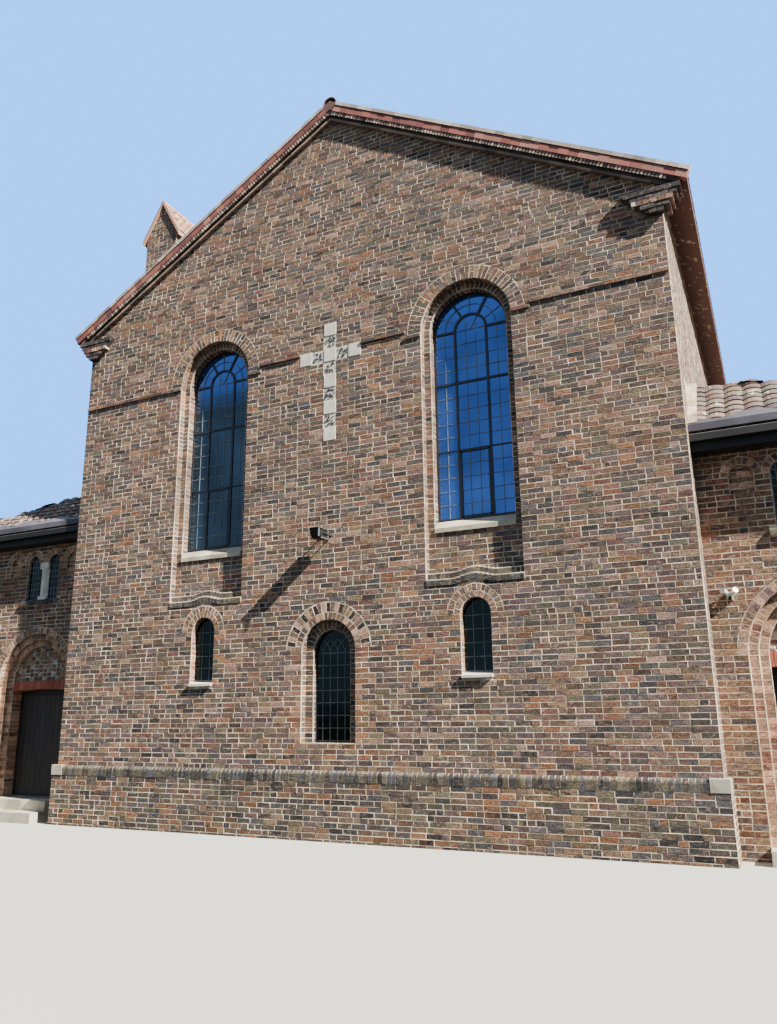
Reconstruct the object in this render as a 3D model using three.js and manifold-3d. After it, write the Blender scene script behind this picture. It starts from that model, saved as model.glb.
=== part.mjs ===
import * as THREE from 'three';
import { mergeVertices } from 'three/addons/utils/BufferGeometryUtils.js';
import Module from 'manifold-3d';

// A brick church: a gabled nave between two low side wings, in millimetres, +Z up.
// The origin is the middle of the front wall's foot, and +Y runs back into the building.

// Courses and walls
const COURSE = 75;
const HALF_BRICK = 112.5;
const WALL = 450;
const SIDE_WALL = 340;
const FIT = 0.3;
const PAST = 1; // how far a cut runs past the face that it opens
const HALF_ROUND = 12; // straight pieces in half a window's round head
const DOOR_ROUND = 20; // in half a door's arch
const LINTEL_ROUND = 8; // in a lintel's camber
const EDGE_ROUND = 4; // in the quarter round of the ledge
const PIN_SIDES = 12;

// Nave
const NAVE_HALF = 5250;
const NAVE_LENGTH = 16000;
const FLOOR_TOP = 340;
const PITCH = Math.tan(THREE.MathUtils.degToRad(30));
const RIDGE_TOP = 12150;
const ROOF_RISE = 173;
const EAVE_REACH = 350;
const VERGE_REACH = 90;
const RIDGE_WIDTH = 260;
const RIDGE_HEIGHT = 90;
const RIDGE_TAPER = 0.8;

// Raking verge: how far each band reaches below the roof's underside, and stands out
const TILE_BAND_DROP = 100;
const TILE_BAND_OUT = 75;
const BRICK_BAND_DROP = 178;
const BRICK_BAND_OUT = 45;
const TILE_BAND_END = 5500;
const BRICK_BAND_END = 5380;
const KNEELER_OUT = 80;
const KNEELER_DEEP = 225;
const KNEELER_FOOT = 8340;
const KNEELER_TOP = 8730;
const KNEELER_NEAR = 4700;
const KNEELER_TIP = 5510;
const KNEELER_INNER = [[KNEELER_NEAR, 8690], [4880, 8500], [5070, KNEELER_FOOT]];
const KNEELER_OUTER = [[5260, KNEELER_FOOT], [5270, 8420], [5355, 8490], [5420, 8600], [KNEELER_TIP, 8690]];

// Plinth and string course
const PLINTH_OUT = 60;
const LEDGE_TOP = 940;
const LEDGE_HEIGHT = 150;
const LEDGE_ROUND = 50;
const CORNER_STONE = 225;
const STONE_PROUD = 5;
const STRING_HEIGHT = 40;
const STRING_OUT = 20;
const STRING_Z = 7320;
const STRING_STEP_NEAR = 1330;
const STRING_STEP_FAR = 3310;

// Tall windows
const TALL_X = 2310;
const TALL_HALF = 715;
const TALL_INNER = 605;
const TALL_SPRING = 7390;
const TALL_FOOT = 3535;
const BACK_ROW = 100;
const HUMP = 60;
const HUMP_HALF = 330;
const HUMP_STEPS = 10;
const SILL_FOOT = 4235;
const SILL_FRONT = 4300;
const SILL_BACK = 4420;
const SILL_OUT = 25;
const GLASS_Y = 235;
const BAR = 36;
const BAR_DEPTH = 44;
const PANE = 8;
const PANE_SET = 18;
const LAP = 5; // how far a bar runs into the one that it meets
const MULLION_X = 250;
const HEAVY_TRANSOM = 6545;
const LIGHT_TRANSOM = 5480;
const FAN_ANGLES = [60, 120];

// Small round-headed windows and the centre window
const SMALL_HALF = 220;
const SMALL_FOOT = 2250;
const SMALL_SPRING = 3040;
const SMALL_GLASS_Y = 110;
const SMALL_GLASS = 20;
const SMALL_SILL_OUT = 45;
const SMALL_SILL_FALL = 40;
const CENTRE_HALF = 450;
const CENTRE_FOOT = 1320;
const CENTRE_SPRING = 2640;
const CENTRE_INNER = 310;
const CENTRE_GLASS_Y = 190;

// Cross of stone and flint squares
const CROSS_CELL = 225;
const CROSS_TOP = 7920;
const CROSS_TALL = 9;
const CROSS_WIDE = 5;
const CROSS_ARM_ROW = 2;
const CROSS_DEEP = 100;

// Floodlight on a wall arm
const LAMP_X = -40;
const LAMP_FOOT = 4270;
const LAMP_TOP = 4430;
const LAMP_HALF = 90;
const LAMP_BACK = 90;
const LAMP_FRONT = 380;
const ARM_HALF = 10;
const ARM_Z = 4350;
const PLATE_HALF = 50;
const PLATE_FOOT = 4300;
const PLATE_TOP = 4400;
const PLATE_THICK = 12;

// Wings, measured outward from the nave's side and back from the front wall's face
const WING_WIDTH = 4350;
const SETBACK = 450;
const WING_LENGTH = NAVE_LENGTH - 2 * SETBACK;
const WING_TOP = 4950;
const FASCIA_REACH = 240;
const TILE_REACH = 300;
const TILE_FOOT = 5190;
const TILE_TOP = 5250;
const WING_FALL = 0.2;
const WING_ROOF_THICK = 190;
const SKIRT_SPARE = 200;
const LOFT_FOOT = 4900;
const LOFT_SHOULDER = 5700;
const LOFT_TOP = 6300;
const GUTTER_OUT = 110;
const GUTTER_FOOT = 5060;
const GUTTER_TOP = 5150;
const GUTTER_SHEET = 12;
const DOOR_X = 1300;
const DOOR_SPRING = 2360;
const ORDERS = [905, 790, 680];
const ORDER_STEP = 70;
const LINTEL_FOOT = 2210;
const LINTEL_TOP = 2400;
const LINTEL_CAMBER = 30;
const LINTEL_SET = 10;
const TREAD = 300;

// Doors
const DOOR_FACE = 350;
const DOOR_THICK = 50;
const POST = 60;
const POST_DEPTH = 80;
const DOOR_GAP = 6;
const PIN_RADIUS = 12;
const PIN_HEIGHT = 20;

// Paired windows over the doors and along the sides
const PAIR_LIGHT = 150;
const PAIR_CENTRE = 265;
const PAIR_FOOT = 3900;
const PAIR_SPRING = 4620;
const PAIR_SILL_FOOT = 3800;
const PAIR_SILL_OUT = 40;
const PAIR_SILL_FALL = 60;
const PAIR_SILL_EARS = 80;
const GLASS_LAP = 60;
const COLUMN_BACK = 200;
const SHAFT_RADIUS = 95;
const CAPITAL_FOOT = 4480;
const COLUMN_SET = 5;
const BASE_HEIGHT = 90;
const NICHE_CENTRE = 750;
const NICHE_DEEP = 60;
const NICHE_FOOT = 4380;
const SIDE_BAYS = 5;
const SIDE_FOOT = 3000;
const SIDE_SPRING = 3900;
const SIDE_GLASS_END = 500;

// Glass behind the rear windows
const REAR_GLASS_SIDE = 900;
const REAR_GLASS_FOOT = 4000;
const REAR_GLASS_TOP = 8400;

// Chimney stack in the left slope
const STACK_WIDTH = 800;
const STACK_DEEP = 1150;
const STACK_Y = 1220;
const STACK_FOOT = 8500;
const STACK_SHOULDER = 11700;
const STACK_PEAK = 12420;
const SLOT_DEEP = 150;
const SLOT_END = 200;
const SLOT_FOOT = 11400;
const SLOT_TOP = 11640;
const CAP_REACH = 80;
const CAP_THICK = 110;
const CAP_END = 40;

const wasm = await Module();
wasm.setup();

const paint = (color, roughness, metalness = 0) => {
  return new THREE.MeshStandardMaterial({ color, roughness, metalness });
};
const brick = () => paint(0x8a5a45, 0.9);
const paleStone = () => paint(0xd8d0bc, 0.8);
const tile = () => paint(0x7a4f42, 0.85);
const redTile = () => paint(0xb05a38, 0.85);
const steel = () => paint(0x2b3846, 0.5, 0.6);
const leadedGlass = () => paint(0x2c4a5e, 0.15, 0.1);
const planks = () => paint(0x2a2826, 0.6);
const concrete = () => paint(0x9a948a, 0.9);

// Solids: each geometry becomes a closed body that can be joined and cut
function solid(geometry) {
  geometry.deleteAttribute('normal');
  geometry.deleteAttribute('uv');
  const merged = mergeVertices(geometry, 1e-3);
  const mesh = new wasm.Mesh({
    numProp: 3,
    vertProperties: new Float32Array(merged.attributes.position.array),
    triVerts: new Uint32Array(merged.index.array),
  });
  return new wasm.Manifold(mesh);
}

function toGeometry(body) {
  const mesh = body.getMesh();
  const geometry = new THREE.BufferGeometry();
  geometry.setAttribute('position', new THREE.BufferAttribute(mesh.vertProperties, 3));
  geometry.setIndex(new THREE.BufferAttribute(mesh.triVerts, 1));
  geometry.computeVertexNormals();
  return geometry;
}

const join = (first, ...others) => others.reduce((sum, next) => sum.add(next), first);
const cut = (first, ...others) => others.reduce((rest, next) => rest.subtract(next), first);

function box(x0, x1, y0, y1, z0, z1) {
  const geometry = new THREE.BoxGeometry(x1 - x0, y1 - y0, z1 - z0);
  geometry.translate((x0 + x1) / 2, (y0 + y1) / 2, (z0 + z1) / 2);
  return solid(geometry);
}

// A box between two distances outward from the middle, on the right (+1) or the left (-1)
function sideBox(side, near, far, y0, y1, z0, z1) {
  return side > 0 ? box(near, far, y0, y1, z0, z1) : box(-far, -near, y0, y1, z0, z1);
}

function outline(points) {
  return new THREE.Shape(points.map(([a, b]) => new THREE.Vector2(a, b)));
}

// An outline drawn in X and Z, made thick from y0 to y1
function frontal(shape, y0, y1, curveSegments = HALF_ROUND) {
  const geometry = new THREE.ExtrudeGeometry(shape, { depth: y1 - y0, bevelEnabled: false, curveSegments });
  geometry.rotateX(Math.PI / 2);
  geometry.translate(0, y1, 0);
  return solid(geometry);
}

// An outline drawn in Y and Z, made thick from x0 to x1
function lateral(shape, x0, x1, curveSegments = HALF_ROUND) {
  const geometry = new THREE.ExtrudeGeometry(shape, { depth: x1 - x0, bevelEnabled: false, curveSegments });
  const axes = [new THREE.Vector3(0, 1, 0), new THREE.Vector3(0, 0, 1), new THREE.Vector3(1, 0, 0)];
  geometry.applyMatrix4(new THREE.Matrix4().makeBasis(...axes));
  geometry.translate(x0, 0, 0);
  return solid(geometry);
}

// An outline drawn in X and Y, made thick from z0 to z1
function level(shape, z0, z1) {
  const depth = z1 - z0;
  const geometry = new THREE.ExtrudeGeometry(shape, { depth, bevelEnabled: false, curveSegments: HALF_ROUND });
  geometry.translate(0, 0, z0);
  return solid(geometry);
}

const moved = (body, x, y, z) => body.translate([x, y, z]);
const mirroredX = (body) => body.mirror([1, 0, 0]);
const mirroredY = (body) => body.mirror([0, 1, 0]);

// A round-headed opening: straight sides up to the springing, then a half circle
function arched(x, half, foot, spring) {
  const shape = new THREE.Shape();
  shape.moveTo(x - half, foot);
  shape.lineTo(x + half, foot);
  shape.lineTo(x + half, spring);
  shape.absarc(x, spring, half, 0, Math.PI, false);
  shape.closePath();
  return shape;
}

// The same opening whose foot rises in a soft hump over the window below
function humped(x, half, foot, spring) {
  const shape = new THREE.Shape();
  shape.moveTo(x - half, foot);
  for (let i = 0; i <= HUMP_STEPS; i += 1) {
    const t = i / HUMP_STEPS;
    const rise = HUMP * 0.5 * (1 - Math.cos(2 * Math.PI * t));
    shape.lineTo(x - HUMP_HALF + 2 * HUMP_HALF * t, foot + rise);
  }
  shape.lineTo(x + half, foot);
  shape.lineTo(x + half, spring);
  shape.absarc(x, spring, half, 0, Math.PI, false);
  shape.closePath();
  return shape;
}

const roofTop = (x) => RIDGE_TOP - PITCH * Math.abs(x);
const roofUnder = (x) => roofTop(x) - ROOF_RISE;

// Gable walls
function gableOutline() {
  const shoulder = roofUnder(NAVE_HALF) - FIT;
  return outline([
    [-NAVE_HALF, 0],
    [NAVE_HALF, 0],
    [NAVE_HALF, shoulder],
    [0, roofUnder(0) - FIT],
    [-NAVE_HALF, shoulder],
  ]);
}

function tallWindowCuts(x) {
  const through = frontal(arched(x, TALL_INNER, SILL_FOOT, TALL_SPRING), -PAST, WALL + PAST);
  const frontRow = frontal(humped(x, TALL_HALF, TALL_FOOT, TALL_SPRING), -PAST, HALF_BRICK / 2);
  const backRow = frontal(humped(x, TALL_HALF, TALL_FOOT + BACK_ROW, TALL_SPRING), -PAST, HALF_BRICK);
  return [through, frontRow, backRow];
}

function crossCells() {
  const left = -CROSS_WIDE * CROSS_CELL / 2;
  const top = CROSS_TOP;
  const shaft = [-CROSS_CELL / 2, CROSS_CELL / 2, top - CROSS_TALL * CROSS_CELL, top];
  const arm = [left, -left, top - (CROSS_ARM_ROW + 1) * CROSS_CELL, top - CROSS_ARM_ROW * CROSS_CELL];
  return [shaft, arm];
}

function crossBody(y0, y1) {
  const [shaft, arm] = crossCells();
  return join(box(shaft[0], shaft[1], y0, y1, shaft[2], shaft[3]), box(arm[0], arm[1], y0, y1, arm[2], arm[3]));
}

function stringRun(x0, x1, z) {
  return box(x0, x1, -STRING_OUT, PAST, z, z + STRING_HEIGHT);
}

function frontWall() {
  const plinthTop = LEDGE_TOP - LEDGE_HEIGHT;
  const plinthHalf = NAVE_HALF + PLINTH_OUT;
  const plinth = box(-plinthHalf, plinthHalf, -PLINTH_OUT, PAST, 0, plinthTop);
  const plinthEnd = (side) => sideBox(side, NAVE_HALF - PAST, plinthHalf, -PLINTH_OUT, SETBACK, 0, plinthTop);
  const armHalf = CROSS_WIDE * CROSS_CELL / 2;
  const body = join(
    frontal(gableOutline(), 0, WALL),
    plinth,
    plinthEnd(-1),
    plinthEnd(1),
    stringRun(-NAVE_HALF, -TALL_X - TALL_HALF, STRING_Z),
    stringRun(-TALL_X + TALL_HALF, -STRING_STEP_NEAR, STRING_Z),
    stringRun(-STRING_STEP_NEAR, -armHalf, STRING_Z + 1.5 * COURSE),
    stringRun(armHalf, STRING_STEP_NEAR, STRING_Z + 1.5 * COURSE),
    stringRun(STRING_STEP_NEAR, TALL_X - TALL_HALF, STRING_Z),
    stringRun(TALL_X + TALL_HALF, STRING_STEP_FAR, STRING_Z + COURSE),
    stringRun(STRING_STEP_FAR, NAVE_HALF, STRING_Z + 2 * COURSE),
  );
  const small = (x) => frontal(arched(x, SMALL_HALF, SMALL_FOOT - COURSE, SMALL_SPRING), -PAST, WALL + PAST);
  const centre = (half, y1) => frontal(arched(0, half, CENTRE_FOOT, CENTRE_SPRING), -PAST, y1);
  return cut(
    body,
    ...tallWindowCuts(-TALL_X),
    ...tallWindowCuts(TALL_X),
    small(-TALL_X),
    small(TALL_X),
    centre(CENTRE_HALF, HALF_BRICK),
    centre(CENTRE_INNER, WALL + PAST),
    crossBody(-PAST, CROSS_DEEP),
  );
}

function rearWall() {
  const body = cut(frontal(gableOutline(), 0, WALL), ...tallWindowCuts(-TALL_X), ...tallWindowCuts(TALL_X));
  return moved(mirroredY(body), 0, NAVE_LENGTH, 0);
}

function rearGlass() {
  const reach = TALL_X + REAR_GLASS_SIDE;
  const y = NAVE_LENGTH - WALL - FIT;
  return box(-reach, reach, y - PANE, y, REAR_GLASS_FOOT, REAR_GLASS_TOP);
}

function naveSideWall(side) {
  const inner = NAVE_HALF - WALL;
  const shape = outline([
    [inner, 0],
    [NAVE_HALF, 0],
    [NAVE_HALF, roofUnder(NAVE_HALF) - FIT],
    [inner, roofUnder(inner) - FIT],
  ]);
  let body = frontal(shape, WALL, NAVE_LENGTH - WALL);
  if (side > 0) {
    return body;
  }
  body = mirroredX(body);
  const hole = box(-NAVE_HALF - PAST, -inner + PAST, STACK_Y, STACK_Y + STACK_DEEP, STACK_FOOT, RIDGE_TOP);
  return cut(body, hole);
}

function naveRoof(side) {
  const reach = NAVE_HALF + EAVE_REACH;
  const shape = outline([
    [FIT, roofUnder(0)],
    [reach, roofUnder(reach)],
    [reach, roofTop(reach)],
    [FIT, roofTop(0)],
  ]);
  const body = frontal(shape, -VERGE_REACH, NAVE_LENGTH + VERGE_REACH);
  if (side > 0) {
    return body;
  }
  const hole = box(
    -NAVE_HALF - FIT, -NAVE_HALF + STACK_WIDTH + FIT,
    STACK_Y - FIT, STACK_Y + STACK_DEEP + FIT, STACK_FOOT, STACK_PEAK,
  );
  return cut(mirroredX(body), hole);
}

function roofRidge() {
  const half = RIDGE_WIDTH / 2;
  const shape = outline([
    [-half, roofTop(half) + FIT],
    [0, roofTop(0) + FIT],
    [half, roofTop(half) + FIT],
    [half * RIDGE_TAPER, roofTop(half) + RIDGE_HEIGHT],
    [0, roofTop(0) + RIDGE_HEIGHT],
    [-half * RIDGE_TAPER, roofTop(half) + RIDGE_HEIGHT],
  ]);
  return frontal(shape, -VERGE_REACH, NAVE_LENGTH + VERGE_REACH);
}

// The raking verge: a tile course over a brick course, ending on a stepped kneeler that turns the corner
function verge() {
  const band = (drop0, drop1, end, out) => {
    const shape = outline([
      [-PAST, roofUnder(PAST) - drop1],
      [end, roofUnder(end) - drop1],
      [end, roofUnder(end) - drop0],
      [0, roofUnder(0) - drop0],
      [-PAST, roofUnder(PAST) - drop0],
    ]);
    return frontal(shape, -out, 0);
  };
  const kneeler = frontal(outline([
    ...KNEELER_INNER,
    ...KNEELER_OUTER,
    [KNEELER_TIP, KNEELER_TOP],
    [KNEELER_NEAR, KNEELER_TOP],
  ]), -KNEELER_OUT, 0);
  const corner = NAVE_HALF + FIT;
  const kneelerEnd = frontal(outline([
    [corner, KNEELER_FOOT],
    ...KNEELER_OUTER,
    [KNEELER_TIP, roofUnder(KNEELER_TIP) - FIT],
    [corner, roofUnder(corner) - FIT],
  ]), -PAST, KNEELER_DEEP);
  const tiles = band(FIT, TILE_BAND_DROP, TILE_BAND_END, TILE_BAND_OUT);
  const bricks = band(TILE_BAND_DROP - PAST, BRICK_BAND_DROP, BRICK_BAND_END, BRICK_BAND_OUT);
  const half = join(tiles, bricks, kneeler, kneelerEnd);
  return join(half, mirroredX(half));
}

// Plinth ledge with its stone corner blocks, along the front and round both corners
function plinthLedge() {
  const z0 = LEDGE_TOP - LEDGE_HEIGHT;
  const out = PLINTH_OUT;
  const profile = new THREE.Shape();
  profile.moveTo(0, z0);
  profile.lineTo(0, LEDGE_TOP);
  profile.lineTo(-out + LEDGE_ROUND, LEDGE_TOP);
  profile.absarc(-out + LEDGE_ROUND, LEDGE_TOP - LEDGE_ROUND, LEDGE_ROUND, Math.PI / 2, Math.PI, false);
  profile.lineTo(-out, z0);
  profile.closePath();
  const reach = NAVE_HALF + out;
  const front = lateral(profile, -reach, reach, EDGE_ROUND);
  const end = (side) => sideBox(side, NAVE_HALF, reach, -out, SETBACK, z0, LEDGE_TOP);
  const stone = (side) => {
    return sideBox(side, reach - CORNER_STONE, reach, -out - STONE_PROUD, 0, z0, LEDGE_TOP + STONE_PROUD);
  };
  return join(front, end(-1), end(1), stone(-1), stone(1));
}

// Steel window with a round head: frame, two mullions, transoms, inner arch and fan bars
function tallWindow() {
  const y0 = GLASS_Y;
  const y1 = GLASS_Y + BAR_DEPTH;
  const foot = SILL_BACK;
  const half = TALL_INNER - FIT;
  const ring = frontal(arched(0, half, foot, TALL_SPRING), y0, y1);
  const hollow = frontal(arched(0, half - BAR, foot + BAR, TALL_SPRING), y0 - PAST, y1 + PAST);
  const paneShape = arched(0, half - BAR / 2, foot + BAR / 2, TALL_SPRING);
  const pane = frontal(paneShape, y0 + PANE_SET, y0 + PANE_SET + PANE);
  const bar = (x0, x1, z0, z1) => box(x0, x1, y0, y1, z0, z1);
  const mullion = (side) => {
    return bar(side * MULLION_X - BAR / 2, side * MULLION_X + BAR / 2, foot + LAP, TALL_SPRING);
  };
  const arch = cut(
    frontal(arched(0, MULLION_X + BAR / 2, TALL_SPRING - LAP, TALL_SPRING), y0, y1),
    frontal(arched(0, MULLION_X - BAR / 2, TALL_SPRING - BAR, TALL_SPRING), y0 - PAST, y1 + PAST),
  );
  const fan = FAN_ANGLES.map((degrees) => {
    const ray = box(MULLION_X, half - BAR / 2, y0, y1, -BAR / 2, BAR / 2);
    return moved(ray.rotate([0, -degrees, 0]), 0, 0, TALL_SPRING);
  });
  return join(
    cut(ring, hollow),
    pane,
    mullion(-1),
    mullion(1),
    bar(-half + LAP, half - LAP, HEAVY_TRANSOM - BAR / 2, HEAVY_TRANSOM + BAR / 2),
    bar(-half + LAP, half - LAP, LIGHT_TRANSOM - BAR / 4, LIGHT_TRANSOM + BAR / 4),
    bar(-half + LAP, -MULLION_X, TALL_SPRING - BAR / 2, TALL_SPRING + BAR / 2),
    bar(MULLION_X, half - LAP, TALL_SPRING - BAR / 2, TALL_SPRING + BAR / 2),
    arch,
    ...fan,
  );
}

function tallSill() {
  const shape = outline([
    [HALF_BRICK - SILL_OUT, SILL_FOOT],
    [GLASS_Y + BAR_DEPTH, SILL_FOOT],
    [GLASS_Y + BAR_DEPTH, SILL_BACK - FIT],
    [GLASS_Y, SILL_BACK - FIT],
    [HALF_BRICK - SILL_OUT, SILL_FRONT],
  ]);
  return lateral(shape, -TALL_INNER + FIT, TALL_INNER - FIT);
}

function smallWindow() {
  const shape = arched(0, SMALL_HALF - FIT, SMALL_FOOT, SMALL_SPRING);
  return frontal(shape, SMALL_GLASS_Y, SMALL_GLASS_Y + SMALL_GLASS);
}

function smallSill() {
  const shape = outline([
    [-SMALL_SILL_OUT, SMALL_FOOT - COURSE],
    [SMALL_GLASS_Y + SMALL_GLASS, SMALL_FOOT - COURSE],
    [SMALL_GLASS_Y + SMALL_GLASS, SMALL_FOOT - FIT],
    [SMALL_GLASS_Y, SMALL_FOOT - FIT],
    [-SMALL_SILL_OUT, SMALL_FOOT - SMALL_SILL_FALL],
  ]);
  return lateral(shape, -SMALL_HALF + FIT, SMALL_HALF - FIT);
}

// The centre window stands behind a second, narrower order
function centreWindow() {
  const shape = arched(0, CENTRE_INNER - FIT, CENTRE_FOOT + FIT, CENTRE_SPRING);
  return frontal(shape, CENTRE_GLASS_Y, CENTRE_GLASS_Y + SMALL_GLASS);
}

function floodlight() {
  const about = (half, y0, y1, z0, z1) => box(LAMP_X - half, LAMP_X + half, y0, y1, z0, z1);
  const plate = about(PLATE_HALF, -PLATE_THICK, -FIT, PLATE_FOOT, PLATE_TOP);
  const arm = about(ARM_HALF, -LAMP_BACK - PAST, PAST - PLATE_THICK, ARM_Z - ARM_HALF, ARM_Z + ARM_HALF);
  const lamp = about(LAMP_HALF, -LAMP_FRONT, -LAMP_BACK, LAMP_FOOT, LAMP_TOP);
  return join(plate, arm, lamp);
}

// Wing pieces in the wing's own frame: x outward from the nave's side, y back from the wing's face
function wingPier(x0, x1, facesDoor) {
  const steps = [[0, ORDERS[0]], [ORDER_STEP, ORDERS[1]], [2 * ORDER_STEP, ORDERS[2]]];
  const jamb = [];
  steps.forEach(([y, reach]) => {
    jamb.push([DOOR_X + facesDoor * reach, y]);
    jamb.push([DOOR_X + facesDoor * reach, y === 2 * ORDER_STEP ? WALL : y + ORDER_STEP]);
  });
  const farX = facesDoor > 0 ? x1 : x0;
  const points = [[farX, 0], ...jamb, [farX, WALL]];
  const shape = outline(points);
  return level(shape, 0, DOOR_SPRING);
}

function pairCuts(x, y0, y1) {
  const light = (side) => frontal(arched(x + side * PAIR_CENTRE, PAIR_LIGHT, PAIR_FOOT, PAIR_SPRING), y0, y1);
  return [light(-1), light(1)];
}

// A stone column before the pier between the two lights: octagonal shaft, square block above and below
function windowColumn() {
  const half = PAIR_CENTRE - PAIR_LIGHT - FIT;
  const y0 = COLUMN_SET;
  const y1 = COLUMN_BACK - FIT;
  const shaftGeometry = new THREE.CylinderGeometry(SHAFT_RADIUS, SHAFT_RADIUS, CAPITAL_FOOT - PAIR_FOOT, 8);
  shaftGeometry.rotateY(Math.PI / 8);
  shaftGeometry.rotateX(Math.PI / 2);
  shaftGeometry.translate(DOOR_X, (y0 + y1) / 2, (CAPITAL_FOOT + PAIR_FOOT) / 2);
  return join(
    solid(shaftGeometry),
    box(DOOR_X - half, DOOR_X + half, y0, y1, CAPITAL_FOOT - PAST, PAIR_SPRING - FIT),
    box(DOOR_X - half, DOOR_X + half, y0, y1, PAIR_FOOT + FIT, PAIR_FOOT + BASE_HEIGHT),
  );
}

function pairSill() {
  const shape = outline([
    [-PAIR_SILL_OUT, PAIR_SILL_FOOT],
    [PAST, PAIR_SILL_FOOT],
    [PAST, PAIR_FOOT],
    [-PAIR_SILL_OUT, PAIR_FOOT - PAIR_SILL_FALL],
  ]);
  const half = PAIR_CENTRE + PAIR_LIGHT + PAIR_SILL_EARS;
  return lateral(shape, DOOR_X - half, DOOR_X + half);
}

function wingUpperWall() {
  const wall = box(0, WING_WIDTH, 0, WALL, DOOR_SPRING, WING_TOP);
  const order = (radius, y0, y1) => {
    const half = new THREE.Shape();
    half.moveTo(DOOR_X + radius, DOOR_SPRING - PAST);
    half.lineTo(DOOR_X + radius, DOOR_SPRING);
    half.absarc(DOOR_X, DOOR_SPRING, radius, 0, Math.PI, false);
    half.lineTo(DOOR_X - radius, DOOR_SPRING - PAST);
    half.closePath();
    return frontal(half, y0, y1, DOOR_ROUND);
  };
  const orders = ORDERS.map((radius, i) => order(radius, i * ORDER_STEP - PAST, (i + 1) * ORDER_STEP));
  const bearing = box(
    DOOR_X - ORDERS[2] - FIT, DOOR_X + ORDERS[2] + FIT,
    2 * ORDER_STEP, WALL + PAST, DOOR_SPRING - PAST, LINTEL_TOP + FIT,
  );
  const niche = (side) => {
    const shape = arched(DOOR_X + side * NICHE_CENTRE, PAIR_LIGHT, NICHE_FOOT, PAIR_SPRING);
    return frontal(shape, -PAST, NICHE_DEEP);
  };
  const pier = PAIR_CENTRE - PAIR_LIGHT + PAST;
  const columnSpace = box(DOOR_X - pier, DOOR_X + pier, -PAST, COLUMN_BACK, PAIR_FOOT, PAIR_SPRING);
  const lights = pairCuts(DOOR_X, -PAST, WALL + PAST);
  return cut(join(wall, pairSill()), ...orders, bearing, ...lights, columnSpace, niche(-1), niche(1));
}

function doorLintel() {
  const half = ORDERS[2];
  const shape = new THREE.Shape();
  shape.moveTo(DOOR_X - half, LINTEL_FOOT);
  shape.quadraticCurveTo(DOOR_X, LINTEL_FOOT + 2 * LINTEL_CAMBER, DOOR_X + half, LINTEL_FOOT);
  shape.lineTo(DOOR_X + half, LINTEL_TOP);
  shape.lineTo(DOOR_X - half, LINTEL_TOP);
  shape.closePath();
  return frontal(shape, 2 * ORDER_STEP + LINTEL_SET, WALL, LINTEL_ROUND);
}

const FRAME_HEAD = LINTEL_FOOT - POST;

function doorFrame() {
  const half = ORDERS[2] - FIT;
  const way = half - POST;
  const y0 = DOOR_FACE;
  const y1 = DOOR_FACE + POST_DEPTH;
  const block = box(DOOR_X - half, DOOR_X + half, y0, y1, FLOOR_TOP, LINTEL_FOOT + 2 * LINTEL_CAMBER);
  const doorway = box(DOOR_X - way, DOOR_X + way, y0 - PAST, y1 + PAST, FLOOR_TOP - PAST, FRAME_HEAD);
  return cut(block, doorway, moved(doorLintel(), 0, 0, -FIT));
}

// Hinge axis of a door, at the round heel on its outer edge
const LEAF_HALF = ORDERS[2] - POST - DOOR_GAP - FIT;
const HEEL = DOOR_THICK / 2;
const HINGE_X = DOOR_X + LEAF_HALF - HEEL;
const HINGE_Y = DOOR_FACE + HEEL;

function doorLeaf() {
  const shape = new THREE.Shape();
  shape.moveTo(DOOR_X - LEAF_HALF, DOOR_FACE);
  shape.lineTo(HINGE_X, DOOR_FACE);
  shape.absarc(HINGE_X, HINGE_Y, HEEL, -Math.PI / 2, Math.PI / 2, false);
  shape.lineTo(DOOR_X - LEAF_HALF, DOOR_FACE + DOOR_THICK);
  shape.closePath();
  const leaf = level(shape, FLOOR_TOP + DOOR_GAP, FRAME_HEAD - DOOR_GAP);
  const pinGeometry = new THREE.CylinderGeometry(PIN_RADIUS, PIN_RADIUS, PIN_HEIGHT, PIN_SIDES);
  pinGeometry.rotateX(Math.PI / 2);
  pinGeometry.translate(HINGE_X, HINGE_Y, FLOOR_TOP + FIT + PIN_HEIGHT / 2);
  return join(leaf, solid(pinGeometry));
}

function wingFloor(side) {
  const slab = box(0, WING_WIDTH - SIDE_WALL, WALL, WING_LENGTH - WALL, 0, FLOOR_TOP);
  const porchTop = side < 0 ? FLOOR_TOP : FLOOR_TOP / 2;
  const tongue = (half, y0, y1, top) => box(DOOR_X - half, DOOR_X + half, y0, y1, 0, top);
  return join(
    slab,
    tongue(ORDERS[2], 2 * ORDER_STEP, WALL, FLOOR_TOP),
    tongue(ORDERS[1], ORDER_STEP, 2 * ORDER_STEP, porchTop),
    tongue(ORDERS[0], 0, ORDER_STEP, porchTop),
  );
}

function doorSteps(side) {
  const half = ORDERS[0];
  const low = FLOOR_TOP / 2;
  if (side > 0) {
    return box(DOOR_X - half, DOOR_X + half, -TREAD, 0, 0, low);
  }
  const upper = box(DOOR_X - half, DOOR_X + half, -TREAD, 0, 0, FLOOR_TOP);
  const lower = box(DOOR_X - half, DOOR_X + half, -2 * TREAD, -TREAD, 0, low);
  return join(upper, lower);
}

function pairGlass() {
  const reach = PAIR_CENTRE + PAIR_LIGHT + GLASS_LAP;
  const y = WALL + FIT;
  const top = PAIR_SPRING + PAIR_LIGHT + GLASS_LAP;
  return box(DOOR_X - reach, DOOR_X + reach, y, y + PANE, PAIR_FOOT - GLASS_LAP, top);
}

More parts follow.
